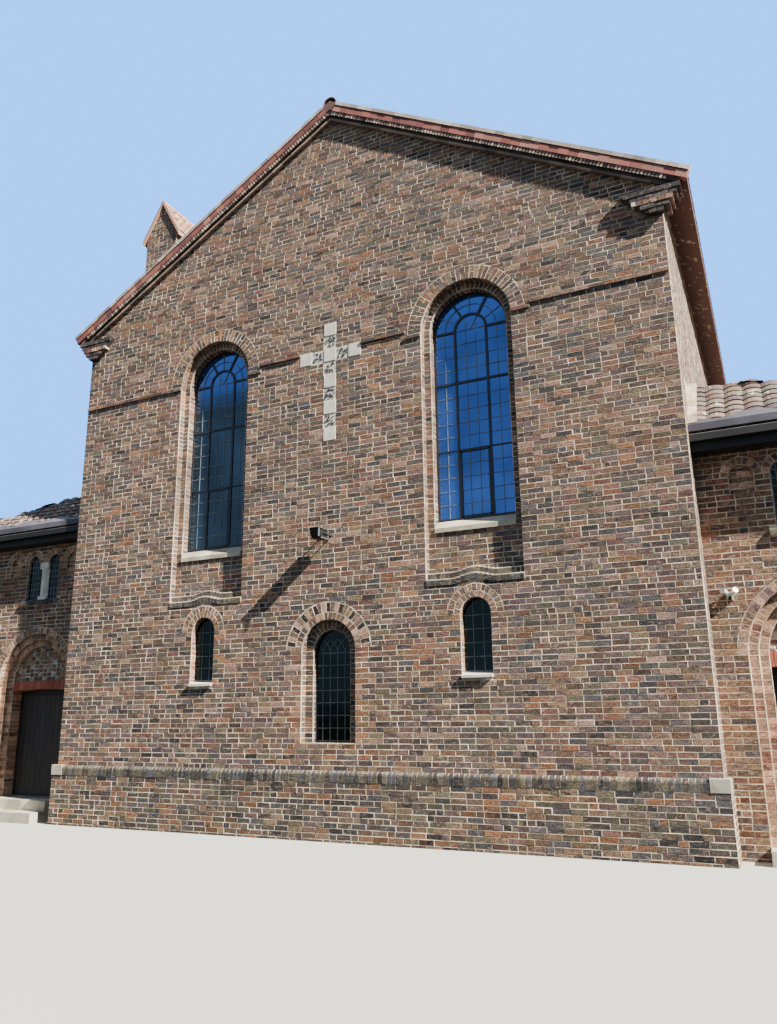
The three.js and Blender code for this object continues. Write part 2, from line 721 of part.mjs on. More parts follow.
function sideWall() {
  const x0 = WING_WIDTH - SIDE_WALL;
  let body = box(x0, WING_WIDTH, WALL, WING_LENGTH - WALL, 0, WING_TOP);
  const bay = (WING_LENGTH - 2 * WALL) / SIDE_BAYS;
  for (let i = 0; i < SIDE_BAYS; i += 1) {
    const y = WALL + bay * (i + 0.5);
    for (const offset of [-PAIR_CENTRE, PAIR_CENTRE]) {
      const light = arched(y + offset, PAIR_LIGHT, SIDE_FOOT, SIDE_SPRING);
      body = cut(body, lateral(light, x0 - PAST, WING_WIDTH + PAST));
    }
  }
  return body;
}

function sideGlass() {
  const x = WING_WIDTH - SIDE_WALL - FIT;
  const y0 = WALL + SIDE_GLASS_END;
  const top = SIDE_SPRING + PAIR_LIGHT + GLASS_LAP;
  return box(x - PANE, x, y0, WING_LENGTH - y0, SIDE_FOOT - GLASS_LAP, top);
}

function wingRearWall() {
  return box(0, WING_WIDTH, WING_LENGTH - WALL, WING_LENGTH, 0, WING_TOP);
}

// A low lean-to whose front and rear edges turn down as steep tiled skirts
function wingRoof() {
  const fascia = WING_WIDTH + FASCIA_REACH;
  const reach = WING_WIDTH + TILE_REACH;
  const y0 = -TILE_REACH;
  const y1 = WING_LENGTH + TILE_REACH;
  const rise = WING_FALL * reach + SKIRT_SPARE;
  const step = TILE_REACH - FASCIA_REACH;
  const along = lateral(outline([
    [y0 + step, WING_TOP],
    [y1 - step, WING_TOP],
    [y1 - step, TILE_FOOT],
    [y1, TILE_FOOT],
    [y1, TILE_TOP],
    [y1 - rise, TILE_TOP + rise],
    [y0 + rise, TILE_TOP + rise],
    [y0, TILE_TOP],
    [y0, TILE_FOOT],
    [y0 + step, TILE_FOOT],
  ]), 0, reach);
  const across = frontal(outline([
    [0, WING_TOP],
    [fascia, WING_TOP],
    [fascia, TILE_FOOT],
    [reach, TILE_FOOT],
    [reach, TILE_TOP],
    [0, TILE_TOP + WING_FALL * reach],
  ]), y0, y1);
  const inner = WING_WIDTH - SIDE_WALL;
  const ceiling = (x) => TILE_TOP + WING_FALL * (reach - x) - WING_ROOF_THICK;
  const pocketAlong = lateral(outline([
    [WALL, LOFT_FOOT],
    [WING_LENGTH - WALL, LOFT_FOOT],
    [WING_LENGTH - WALL, LOFT_SHOULDER],
    [WING_LENGTH - WALL - (LOFT_TOP - LOFT_SHOULDER), LOFT_TOP],
    [WALL + LOFT_TOP - LOFT_SHOULDER, LOFT_TOP],
    [WALL, LOFT_SHOULDER],
  ]), -PAST, inner);
  const pocketAcross = frontal(outline([
    [-PAST, LOFT_FOOT],
    [inner, LOFT_FOOT],
    [inner, ceiling(inner)],
    [-PAST, ceiling(-PAST)],
  ]), WALL, WING_LENGTH - WALL);
  return cut(along.intersect(across), pocketAlong.intersect(pocketAcross));
}

function wingGutter() {
  const fascia = FASCIA_REACH + FIT;
  const lip = FASCIA_REACH + GUTTER_OUT;
  const ring = (inner, outer, z0, z1) => cut(
    box(0, WING_WIDTH + outer, -outer, WING_LENGTH + outer, z0, z1),
    box(-PAST, WING_WIDTH + inner, -inner, WING_LENGTH + inner, z0 - PAST, z1 + PAST),
  );
  const sheet = GUTTER_SHEET;
  const trough = ring(fascia + sheet, lip - sheet, GUTTER_FOOT + sheet, GUTTER_TOP + PAST);
  return cut(ring(fascia, lip, GUTTER_FOOT, GUTTER_TOP), trough);
}

// Chimney stack with a steep tiled saddle cap, drawn about its own middle line
function stackBody() {
  const half = STACK_WIDTH / 2;
  const shape = outline([
    [-half, STACK_FOOT],
    [half, STACK_FOOT],
    [half, STACK_SHOULDER],
    [0, STACK_PEAK],
    [-half, STACK_SHOULDER],
  ]);
  const slot = (side) => {
    return sideBox(side, half - SLOT_DEEP, half + PAST, SLOT_END, STACK_DEEP - SLOT_END, SLOT_FOOT, SLOT_TOP);
  };
  return cut(frontal(shape, 0, STACK_DEEP), slot(-1), slot(1));
}

function stackCap() {
  const slope = (STACK_PEAK - STACK_SHOULDER) / (STACK_WIDTH / 2);
  const reach = STACK_WIDTH / 2 + CAP_REACH;
  const under = (x) => STACK_PEAK + FIT - slope * x;
  const shape = outline([
    [-reach, under(reach)],
    [0, under(0)],
    [reach, under(reach)],
    [reach, under(reach) + CAP_THICK],
    [0, under(0) + CAP_THICK],
    [-reach, under(reach) + CAP_THICK],
  ]);
  return frontal(shape, -CAP_END, STACK_DEEP + CAP_END);
}

const church = new THREE.Group();

function place(parent, name, body, material) {
  const mesh = new THREE.Mesh(toGeometry(body), material);
  mesh.name = name;
  parent.add(mesh);
  return mesh;
}

function group(parent, x, y, z) {
  const child = new THREE.Group();
  child.position.set(x, y, z);
  parent.add(child);
  return child;
}

// Nave
place(church, 'front_wall', frontWall(), brick());
place(church, 'rear_wall', rearWall(), brick());
place(church, 'nave_left_wall', naveSideWall(-1), brick());
place(church, 'nave_right_wall', naveSideWall(1), brick());
const floorBody = box(-NAVE_HALF + WALL, NAVE_HALF - WALL, WALL, NAVE_LENGTH - WALL, 0, FLOOR_TOP);
place(church, 'nave_floor', floorBody, concrete());
place(church, 'nave_roof_left', naveRoof(-1), tile());
place(church, 'nave_roof_right', naveRoof(1), tile());
place(church, 'roof_ridge', roofRidge(), tile());
place(church, 'gable_verge', verge(), redTile());
place(church, 'plinth_ledge', plinthLedge(), brick());
place(church, 'flint_cross', crossBody(0, CROSS_DEEP - FIT), paleStone());
place(church, 'floodlight', floodlight(), steel());
place(church, 'rear_window_glass', rearGlass(), leadedGlass());

for (const [label, side] of [['left', -1], ['right', 1]]) {
  const bay = group(church, side * TALL_X, 0, 0);
  place(bay, `tall_window_${label}`, tallWindow(), steel());
  place(bay, `tall_window_sill_${label}`, tallSill(), paleStone());
  place(bay, `small_window_${label}`, smallWindow(), leadedGlass());
  place(bay, `small_window_sill_${label}`, smallSill(), paleStone());
}
place(church, 'centre_window', centreWindow(), leadedGlass());

// Chimney stack
const stack = group(church, -NAVE_HALF + STACK_WIDTH / 2, STACK_Y, 0);
place(stack, 'chimney_stack', stackBody(), brick());
place(stack, 'chimney_cap', stackCap(), tile());

// Wings
for (const [label, side] of [['left', -1], ['right', 1]]) {
  const wing = group(church, side * NAVE_HALF, SETBACK, 0);
  const turned = (body) => (side < 0 ? mirroredX(body) : body);
  const add = (name, body, material) => place(wing, `${label}_${name}`, turned(body), material);
  add('wing_inner_pier', wingPier(0, DOOR_X, -1), brick());
  add('wing_outer_pier', wingPier(DOOR_X, WING_WIDTH, 1), brick());
  add('wing_upper_wall', wingUpperWall(), brick());
  add('door_lintel', doorLintel(), redTile());
  add('door_frame', doorFrame(), planks());
  add('door', doorLeaf(), planks());
  add('door_steps', doorSteps(side), paleStone());
  add('wing_window_column', windowColumn(), paleStone());
  add('wing_window_glass', pairGlass(), leadedGlass());
  add('wing_side_wall', sideWall(), brick());
  add('wing_side_glass', sideGlass(), leadedGlass());
  add('wing_rear_wall', wingRearWall(), brick());
  add('wing_floor', wingFloor(side), concrete());
  add('wing_roof', wingRoof(), tile());
  add('wing_gutter', wingGutter(), steel());
}

export default church;
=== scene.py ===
# %% [markdown]
# # A brick church, dressed brick by brick
#
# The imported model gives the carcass: walls with their openings, roofs, windows, doors.
# This lesson dresses it. Walls get real bricks with mortar joints, roofs get tiles, windows get
# their lead and glass. Everything is in metres, with X to the right, Y into the building, Z up.

# %% Load the frame
import math
import random

import bmesh
import bpy
from mathutils import Matrix, Vector


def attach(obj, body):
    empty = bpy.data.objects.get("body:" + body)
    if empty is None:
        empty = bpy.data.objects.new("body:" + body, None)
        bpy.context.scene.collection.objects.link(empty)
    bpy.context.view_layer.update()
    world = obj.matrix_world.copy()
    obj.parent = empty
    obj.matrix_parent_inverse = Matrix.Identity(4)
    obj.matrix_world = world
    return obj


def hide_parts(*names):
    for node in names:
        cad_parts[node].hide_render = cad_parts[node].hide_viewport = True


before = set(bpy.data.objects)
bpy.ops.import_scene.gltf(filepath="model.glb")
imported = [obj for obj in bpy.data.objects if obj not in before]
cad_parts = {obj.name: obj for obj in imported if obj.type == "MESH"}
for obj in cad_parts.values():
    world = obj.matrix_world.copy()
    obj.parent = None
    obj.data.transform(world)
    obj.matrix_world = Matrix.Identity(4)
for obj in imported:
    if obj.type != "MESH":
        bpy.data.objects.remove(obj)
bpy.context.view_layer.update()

# %% [markdown]
# ## The camera
#
# The photo was taken at eye height, a little right of the middle, looking up and to the left. A
# camera can be matched by eye, but the brick courses are a better ruler: they are 75 mm high
# everywhere on the front wall, and the place and angles below were worked out from them.

# %% Camera
CAMERA_PLACE = Vector((5.98, -10.395, 1.70))
CAMERA_RIGHT = Vector((0.9011, 0.4338, -0.0113))
CAMERA_UP = Vector((0.1163, -0.2162, 0.9695))
CAMERA_FORWARD = Vector((-0.4180, 0.8748, 0.2452))
LENS_MM = 28.22


def make_camera():
    data = bpy.data.cameras.new("camera")
    data.lens = LENS_MM
    data.sensor_width = 36.0
    data.clip_end = 400.0
    camera = bpy.data.objects.new("camera", data)
    bpy.context.scene.collection.objects.link(camera)
    turn = Matrix((CAMERA_RIGHT, CAMERA_UP, -CAMERA_FORWARD)).transposed().to_4x4()
    camera.matrix_world = Matrix.Translation(CAMERA_PLACE) @ turn
    bpy.context.scene.camera = camera
    print("camera at", tuple(CAMERA_PLACE))


make_camera()

# %% [markdown]
# ## Small helpers
#
# Every piece starts as a bmesh, Blender's editable mesh. `finish_piece` turns one into an object,
# gives it its materials and ties it to the body of the model that it moves with.

# %% Helpers for pieces
def finish_piece(name, bm, materials, slot, body="building"):
    mesh = bpy.data.meshes.new(name)
    bm.to_mesh(mesh)
    bm.free()
    piece = bpy.data.objects.new(name, mesh)
    bpy.context.scene.collection.objects.link(piece)
    for material in materials:
        mesh.materials.append(material)
    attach(piece, body)
    triangles = sum(len(face.vertices) - 2 for face in mesh.polygons)
    print(name, triangles, "triangles")
    return piece


def tone_layer(bm):
    layer = bm.faces.layers.float_vector.get("tone")
    return layer or bm.faces.layers.float_vector.new("tone")


def random_tone(rng):
    return Vector((rng.random(), rng.random(), rng.random()))


def faces_of(verts):
    return {face for vert in verts for face in vert.link_faces}


def paint(bm, verts, rng):
    """Gives the faces of one new brick, tile or stone a tone of its own."""
    layer = tone_layer(bm)
    tone = random_tone(rng)
    for face in faces_of(verts):
        face[layer] = tone


def add_block(bm, low, high, rng=None, place=None):
    size = Vector(high) - Vector(low)
    middle = (Vector(high) + Vector(low)) / 2
    matrix = Matrix.Translation(middle) @ Matrix.Diagonal((*size, 1))
    made = bmesh.ops.create_cube(bm, size=1, matrix=(place or Matrix()) @ matrix)
    if rng:
        paint(bm, made["verts"], rng)
    return made["verts"]


def soften(bm, width, segments=1):
    """Bevels every edge a little, since no real edge is quite sharp."""
    bmesh.ops.bevel(
        bm, geom=list(bm.edges), offset=width, offset_type="OFFSET", segments=segments, profile=0.5,
        affect="EDGES", material=-1,
    )


def turned_about_z(degrees, x=0.0, y=0.0, z=0.0):
    return Matrix.Translation((x, y, z)) @ Matrix.Rotation(math.radians(degrees), 4, "Z")


def span(side, near, far, x=0.0):
    """The ends of a stretch on one side of x, the lower one first."""
    return sorted((x + side * near, x + side * far))


SIDES = (("left", -1), ("right", 1))


# %% [markdown]
# ## Colours and finishes
#
# A brick wall has no single colour. Each brick here carries three random numbers, called its tone.
# The material reads the first as a place on a colour ramp of fired clay, from orange to blue-grey,
# and the second as light or dark. Noise then adds the speckle inside each brick.

# %% Material helpers
def srgb(red, green, blue):
    def linear(value):
        value = value / 255
        return value / 12.92 if value <= 0.04045 else ((value + 0.055) / 1.055) ** 2.4
    return (linear(red), linear(green), linear(blue), 1.0)


def set_stops(color_ramp, stops):
    while len(color_ramp.elements) < len(stops):
        color_ramp.elements.new(0.5)
    for element, (position, color) in zip(color_ramp.elements, stops):
        element.position = position
        element.color = color


def even_steps(colors):
    return [(i / len(colors), color) for i, color in enumerate(colors)]


class Recipe:
    """A material being put together: a few short words for its nodes."""

    def __init__(self, name, roughness=0.8, metallic=0.0):
        self.material = bpy.data.materials.new(name)
        self.material.use_nodes = True
        self.nodes = self.material.node_tree.nodes
        self.links = self.material.node_tree.links
        self.shader = self.nodes["Principled BSDF"]
        self.shader.inputs["Roughness"].default_value = roughness
        self.shader.inputs["Metallic"].default_value = metallic
        self.place = self.nodes.new("ShaderNodeTexCoord").outputs["Object"]

    def join(self, source, target):
        self.links.new(source, target)

    def noise(self, scale, detail=3.0, stretch=None):
        node = self.nodes.new("ShaderNodeTexNoise")
        node.inputs["Scale"].default_value = scale
        node.inputs["Detail"].default_value = detail
        source = self.place
        if stretch:
            mapping = self.nodes.new("ShaderNodeMapping")
            mapping.inputs["Scale"].default_value = stretch
            self.join(self.place, mapping.inputs["Vector"])
            source = mapping.outputs["Vector"]
        self.join(source, node.inputs["Vector"])
        return node.outputs["Fac"]

    def ramp(self, source, stops, steps=False):
        node = self.nodes.new("ShaderNodeValToRGB")
        node.color_ramp.interpolation = "CONSTANT" if steps else "LINEAR"
        set_stops(node.color_ramp, stops)
        self.join(source, node.inputs["Fac"])
        return node.outputs["Color"]

    def mix(self, factor, first, second, kind="MIX"):
        node = self.nodes.new("ShaderNodeMix")
        node.data_type = "RGBA"
        node.blend_type = kind
        for value, socket in ((factor, node.inputs[0]), (first, node.inputs[6]), (second, node.inputs[7])):
            if isinstance(value, (float, tuple)):
                socket.default_value = value
            else:
                self.join(value, socket)
        return node.outputs[2]

    def shade(self, body, source, stops, amount=1.0):
        """Darkens and lightens a colour by a ramp of a noise or of a tone's number."""
        return self.mix(amount, body, self.ramp(source, stops), "MULTIPLY")

    def tone(self):
        node = self.nodes.new("ShaderNodeAttribute")
        node.attribute_name = "tone"
        split = self.nodes.new("ShaderNodeSeparateXYZ")
        self.join(node.outputs["Vector"], split.inputs["Vector"])
        return split.outputs["X"], split.outputs["Y"], split.outputs["Z"]

    def bump(self, height, strength, distance):
        node = self.nodes.new("ShaderNodeBump")
        node.inputs["Strength"].default_value = strength
        node.inputs["Distance"].default_value = distance
        self.join(height, node.inputs["Height"])
        self.join(node.outputs["Normal"], self.shader.inputs["Normal"])

    def done(self, color):
        if isinstance(color, tuple):
            self.shader.inputs["Base Color"].default_value = color
        else:
            self.join(color, self.shader.inputs["Base Color"])
        return self.material


def grey(level):
    return (level, level, level, 1.0)


# %% [markdown]
# ### Brick and mortar
#
# The main walls are multi-coloured stocks: brown, purple, red, some orange and some burnt nearly
# black. No brick is of one colour either: a second clay, picked by the third number, shows in
# clouds on its face. The same recipe with another list of colours makes the warmer wings, the
# darker plinth and the pale arch rings.

# %% Brick and mortar
CLAYS = {
    "orange": srgb(136, 92, 62),
    "red": srgb(118, 76, 66),
    "brown": srgb(110, 86, 70),
    "tan": srgb(140, 114, 86),
    "purple": srgb(100, 78, 78),
    "slate": srgb(74, 73, 77),
    "burnt": srgb(46, 43, 45),
    "pink": srgb(152, 120, 104),
    "moss": srgb(94, 89, 72),
    "peach": srgb(188, 146, 118),
}


COOL_PATCH = (0.82, 0.86, 0.90, 1.0)
WARM_PATCH = (1.12, 1.03, 0.96, 1.0)


def brick_finish(name, mix_of_clays, light=1.0):
    recipe = Recipe(name, roughness=0.88)
    pick, level, other = recipe.tone()
    clays = [CLAYS[clay] for clay in mix_of_clays]
    first = recipe.ramp(pick, even_steps(clays), steps=True)
    second = recipe.ramp(other, even_steps(clays[::-1]), steps=True)
    clouds = recipe.ramp(recipe.noise(11, 4, stretch=(1, 1, 1.6)), [(0.42, grey(0.0)), (0.60, grey(0.6))])
    body = recipe.mix(clouds, first, second)
    body = recipe.shade(body, level, [(0.0, grey(0.55 * light)), (1.0, grey(1.34 * light))])
    body = recipe.shade(body, recipe.noise(46, 4), [(0.37, grey(0.40)), (0.60, grey(1.34))], 0.9)
    body = recipe.shade(body, recipe.noise(0.5, 3), [(0.36, COOL_PATCH), (0.64, WARM_PATCH)])
    bloom = recipe.ramp(recipe.noise(14, 5, stretch=(1, 1, 3.2)), [(0.54, grey(0.0)), (0.68, grey(0.5))])
    body = recipe.mix(recipe.mix(1.0, bloom, other, "MULTIPLY"), body, srgb(188, 168, 146))
    recipe.bump(recipe.noise(70, 5), 0.55, 0.006)
    return recipe.done(body)


def mortar_finish(name, color, dark):
    recipe = Recipe(name, roughness=0.95)
    patches = recipe.ramp(recipe.noise(2.2, 5), [(0.38, grey(0.0)), (0.62, grey(1.0))])
    body = recipe.mix(patches, srgb(*dark), srgb(*color))
    body = recipe.shade(body, recipe.noise(8, 4), [(0.38, grey(0.62)), (0.58, grey(1.08))], 0.9)
    body = recipe.shade(body, recipe.noise(160, 2), [(0.3, grey(0.75)), (0.7, grey(1.1))], 0.8)
    recipe.bump(recipe.noise(120, 3), 0.4, 0.003)
    return recipe.done(body)


STOCK_MIX = ["brown", "purple", "red", "slate", "moss", "brown", "tan", "purple", "orange", "slate", "pink",
             "brown", "burnt", "moss", "purple", "slate"]
stock_brick = brick_finish("stock_brick", STOCK_MIX)
WARM_MIX = ["tan", "orange", "brown", "red", "purple", "tan", "pink", "brown", "orange", "slate",
            "red", "tan"]
warm_brick = brick_finish("warm_brick", WARM_MIX, 1.08)
PLINTH_MIX = ["moss", "slate", "brown", "burnt", "purple", "moss", "slate", "tan", "orange"]
plinth_brick = brick_finish("plinth_brick", PLINTH_MIX, 0.95)
RING_MIX = ["pink", "tan", "red", "peach", "purple", "peach", "brown"]
ring_brick = brick_finish("ring_brick", RING_MIX, 1.08)
ORDER_MIX = ["peach", "pink", "peach", "tan", "peach", "red"]
order_brick = brick_finish("order_brick", ORDER_MIX, 1.05)
burnt_brick = brick_finish("burnt_brick", ["burnt"], 0.55)
ledge_brick = brick_finish("ledge_brick", ["moss", "slate", "slate", "burnt", "moss"], 0.95)
buff_mortar = mortar_finish("buff_mortar", (226, 210, 186), (158, 142, 122))
# A dark mortar as painted shade: it shows in the gaps of the raking verge, where shade falls.
painted_shade_mortar = mortar_finish("painted_shade_mortar", (96, 86, 78), (60, 54, 50))
print("bricks:", len(STOCK_MIX), "clays in the main mix")

# %% [markdown]
# ### Stone, tile, timber, metal and glass
#
# The other finishes follow the same steps: a base colour, large patches of weather, fine grain,
# then a bump. Glass could be made see-through, but a church is dark inside by day, so what shows
# is the sky in the panes. A smooth, mostly metallic sheet mirrors it at less cost. Its tint adds
# a painted reflection: sky blue, and in some windows a darker painted reflection of trees low down.

# %% Other finishes
def weathered(name, color, dark, roughness=0.8, patch=3.0, grain=90, bump=0.3, metallic=0.0):
    recipe = Recipe(name, roughness, metallic)
    patches = recipe.ramp(recipe.noise(patch, 6), [(0.38, grey(0.0)), (0.66, grey(1.0))])
    body = recipe.mix(patches, srgb(*dark), srgb(*color))
    body = recipe.shade(body, recipe.noise(grain, 3), [(0.3, grey(0.82)), (0.7, grey(1.1))])
    recipe.bump(recipe.noise(grain * 0.7, 4), bump, 0.004)
    return recipe.done(body)


def toned(name, colors, roughness=0.8, lichen=0.0):
    recipe = Recipe(name, roughness)
    pick, level, _ = recipe.tone()
    body = recipe.ramp(pick, even_steps([srgb(*color) for color in colors]), steps=True)
    body = recipe.shade(body, level, [(0.0, grey(0.72)), (1.0, grey(1.2))])
    body = recipe.shade(body, recipe.noise(50, 4), [(0.35, grey(0.7)), (0.65, grey(1.15))], 0.8)
    if lichen:
        spots = recipe.ramp(recipe.noise(9, 3), [(0.62, grey(0.0)), (0.68, grey(lichen))])
        body = recipe.mix(spots, body, srgb(196, 196, 180))
    recipe.bump(recipe.noise(60, 4), 0.4, 0.004)
    return recipe.done(body)


GLASS_MIRROR = 0.85
# Levels where a painted reflection of dark trees fades into a painted sky reflection.
REFLECTION_FADE = (6.9, 7.35)


def leaded_glass(name, color, upper_reflection_color=None):
    """Panes that mirror the sky through a tinted sheet. A second colour, if given, is a painted sky
    reflection for panes above the fade's two levels, and the first is then a painted reflection of dark trees
    below them.
    """
    recipe = Recipe(name, roughness=0.07, metallic=GLASS_MIRROR)
    color = srgb(*color)
    if upper_reflection_color:
        split = recipe.nodes.new("ShaderNodeSeparateXYZ")
        recipe.join(recipe.place, split.inputs["Vector"])
        high = recipe.nodes.new("ShaderNodeMapRange")
        high.inputs["From Min"].default_value, high.inputs["From Max"].default_value = REFLECTION_FADE
        recipe.join(split.outputs["Z"], high.inputs["Value"])
        color = recipe.mix(high.outputs["Result"], color, srgb(*upper_reflection_color))
    # Patches make the tint, and the painted reflection in it, brighter and darker across the panes.
    body = recipe.shade(color, recipe.noise(1.1, 2), [(0.35, grey(0.75)), (0.7, grey(1.25))])
    recipe.bump(recipe.noise(5, 1), 0.12, 0.01)
    return recipe.done(body)


def timber(name, color, dark):
    recipe = Recipe(name, roughness=0.55)
    grain = recipe.ramp(recipe.noise(22, 6, stretch=(1, 1, 0.08)), [(0.35, srgb(*dark)), (0.7, srgb(*color))])
    recipe.bump(recipe.noise(60, 4, stretch=(1, 1, 0.06)), 0.35, 0.003)
    return recipe.done(grain)


pale_stone = weathered("pale_stone", (214, 206, 186), (160, 152, 134), 0.85)
white_stone = weathered("white_stone", (232, 228, 218), (205, 198, 184), 0.8, patch=6)
flint_lime = weathered("flint_lime", (222, 218, 206), (190, 184, 170), 0.9)
flint_stone = toned("flint_stone", [(70, 72, 70), (36, 38, 38), (96, 98, 94), (50, 54, 54)], 0.35)
red_tile = toned("red_tile", [(176, 92, 66), (160, 84, 66), (188, 116, 84)], 0.8)
roof_clay = [(112, 82, 78), (96, 74, 74), (124, 88, 78), (88, 78, 76), (136, 100, 84)]
roof_tile = toned("roof_tile", roof_clay, 0.82, lichen=0.6)
cap_clay = [(196, 154, 132), (178, 136, 118), (206, 170, 146)]
cap_tile = toned("cap_tile", cap_clay, 0.85, lichen=0.4)
dark_steel = weathered("dark_steel", (38, 46, 58), (24, 30, 40), 0.45, grain=40, bump=0.1)
lead_came = weathered("lead_came", (118, 128, 132), (82, 92, 98), 0.5, grain=40, bump=0.1)
lead_sheet = weathered("lead_sheet", (92, 90, 102), (66, 64, 74), 0.6, patch=2)
dark_metal = weathered("dark_metal", (27, 28, 30), (16, 17, 19), 0.6, bump=0.15)
bright_metal = weathered("bright_metal", (190, 194, 194), (150, 154, 156), 0.3, metallic=0.8)
white_plastic = weathered("white_plastic", (222, 222, 216), (200, 198, 190), 0.4, bump=0.05)
door_boards = timber("door_boards", (58, 50, 46), (30, 26, 25))
frame_timber = timber("frame_timber", (44, 38, 36), (24, 21, 20))
# Painted reflections: sky blue for the right tall window; for the left tall window, the rear windows and the
# wings' side windows, dark trees low down fading to sky above.
PAINTED_SKY_REFLECTION = (78, 113, 184)
sky_glass = leaded_glass("sky_glass", PAINTED_SKY_REFLECTION)
painted_reflection_glass = leaded_glass("painted_reflection_glass", (66, 84, 100), PAINTED_SKY_REFLECTION)
dark_glass = leaded_glass("dark_glass", (30, 40, 42))
wing_brick = brick_finish("wing_brick", WARM_MIX, 0.90)
red_mortar = mortar_finish("red_mortar", (150, 96, 74), (110, 66, 52))
pale_flint = toned("pale_flint", [(150, 158, 164), (96, 104, 108), (60, 64, 66), (190, 194, 192)], 0.4)
mossy_clay = [(104, 84, 78), (88, 74, 74), (120, 100, 88), (96, 92, 86)]
mossy_tile = toned("mossy_tile", mossy_clay, 0.85, lichen=0.9)
floor_finish = weathered("floor_finish", (150, 140, 126), (120, 110, 98), 0.9)

# %% [markdown]
# ## Laying bricks
#
# Each brick's face is a tiny square grid of one cell, stretched to a brick's size and put in its
# place. A cube for each brick would be simpler, but most of its faces would never show. Instead
# one `inset_individual` call draws every face in by half a joint and lifts it about 3.5 mm, so the
# sloping rims between two bricks form the mortar joint. That costs ten triangles a brick, which
# lets the whole building have real joints that catch the light.

# %% Bricklaying
STRETCHER = 0.225
HEADER = 0.1125
COURSE = 0.075
HALF_JOINT = 0.006
PROUD = 0.0035
FIRST_BED = 0.04
WOBBLE = 0.0016
BATCH = 100
UPRIGHT = Matrix.Rotation(math.pi / 2, 4, "X")


class Pile:
    """A growing mesh. New bits are made in a small bmesh, which stays quick, then poured over."""

    def __init__(self):
        self.bm = bmesh.new()
        tone_layer(self.bm)
        self.start_batch()

    def start_batch(self):
        self.batch = bmesh.new()
        tone_layer(self.batch)
        self.waiting = 0

    def added(self):
        self.waiting += 1
        if self.waiting >= BATCH:
            self.pour()

    def pour(self):
        mesh = bpy.data.meshes.new("batch")
        self.batch.to_mesh(mesh)
        self.batch.free()
        self.bm.from_mesh(mesh)
        bpy.data.meshes.remove(mesh)
        self.start_batch()


def course_lines(z0, z1):
    """The foot and top of each course between two levels, on the building's 75 mm beds."""
    k = math.floor((z0 - FIRST_BED) / COURSE + 1e-6)
    while FIRST_BED + k * COURSE < z1 - 0.012:
        low = max(z0, FIRST_BED + k * COURSE)
        high = min(z1, FIRST_BED + (k + 1) * COURSE)
        if high - low > 0.02:
            yield low, high
        k += 1


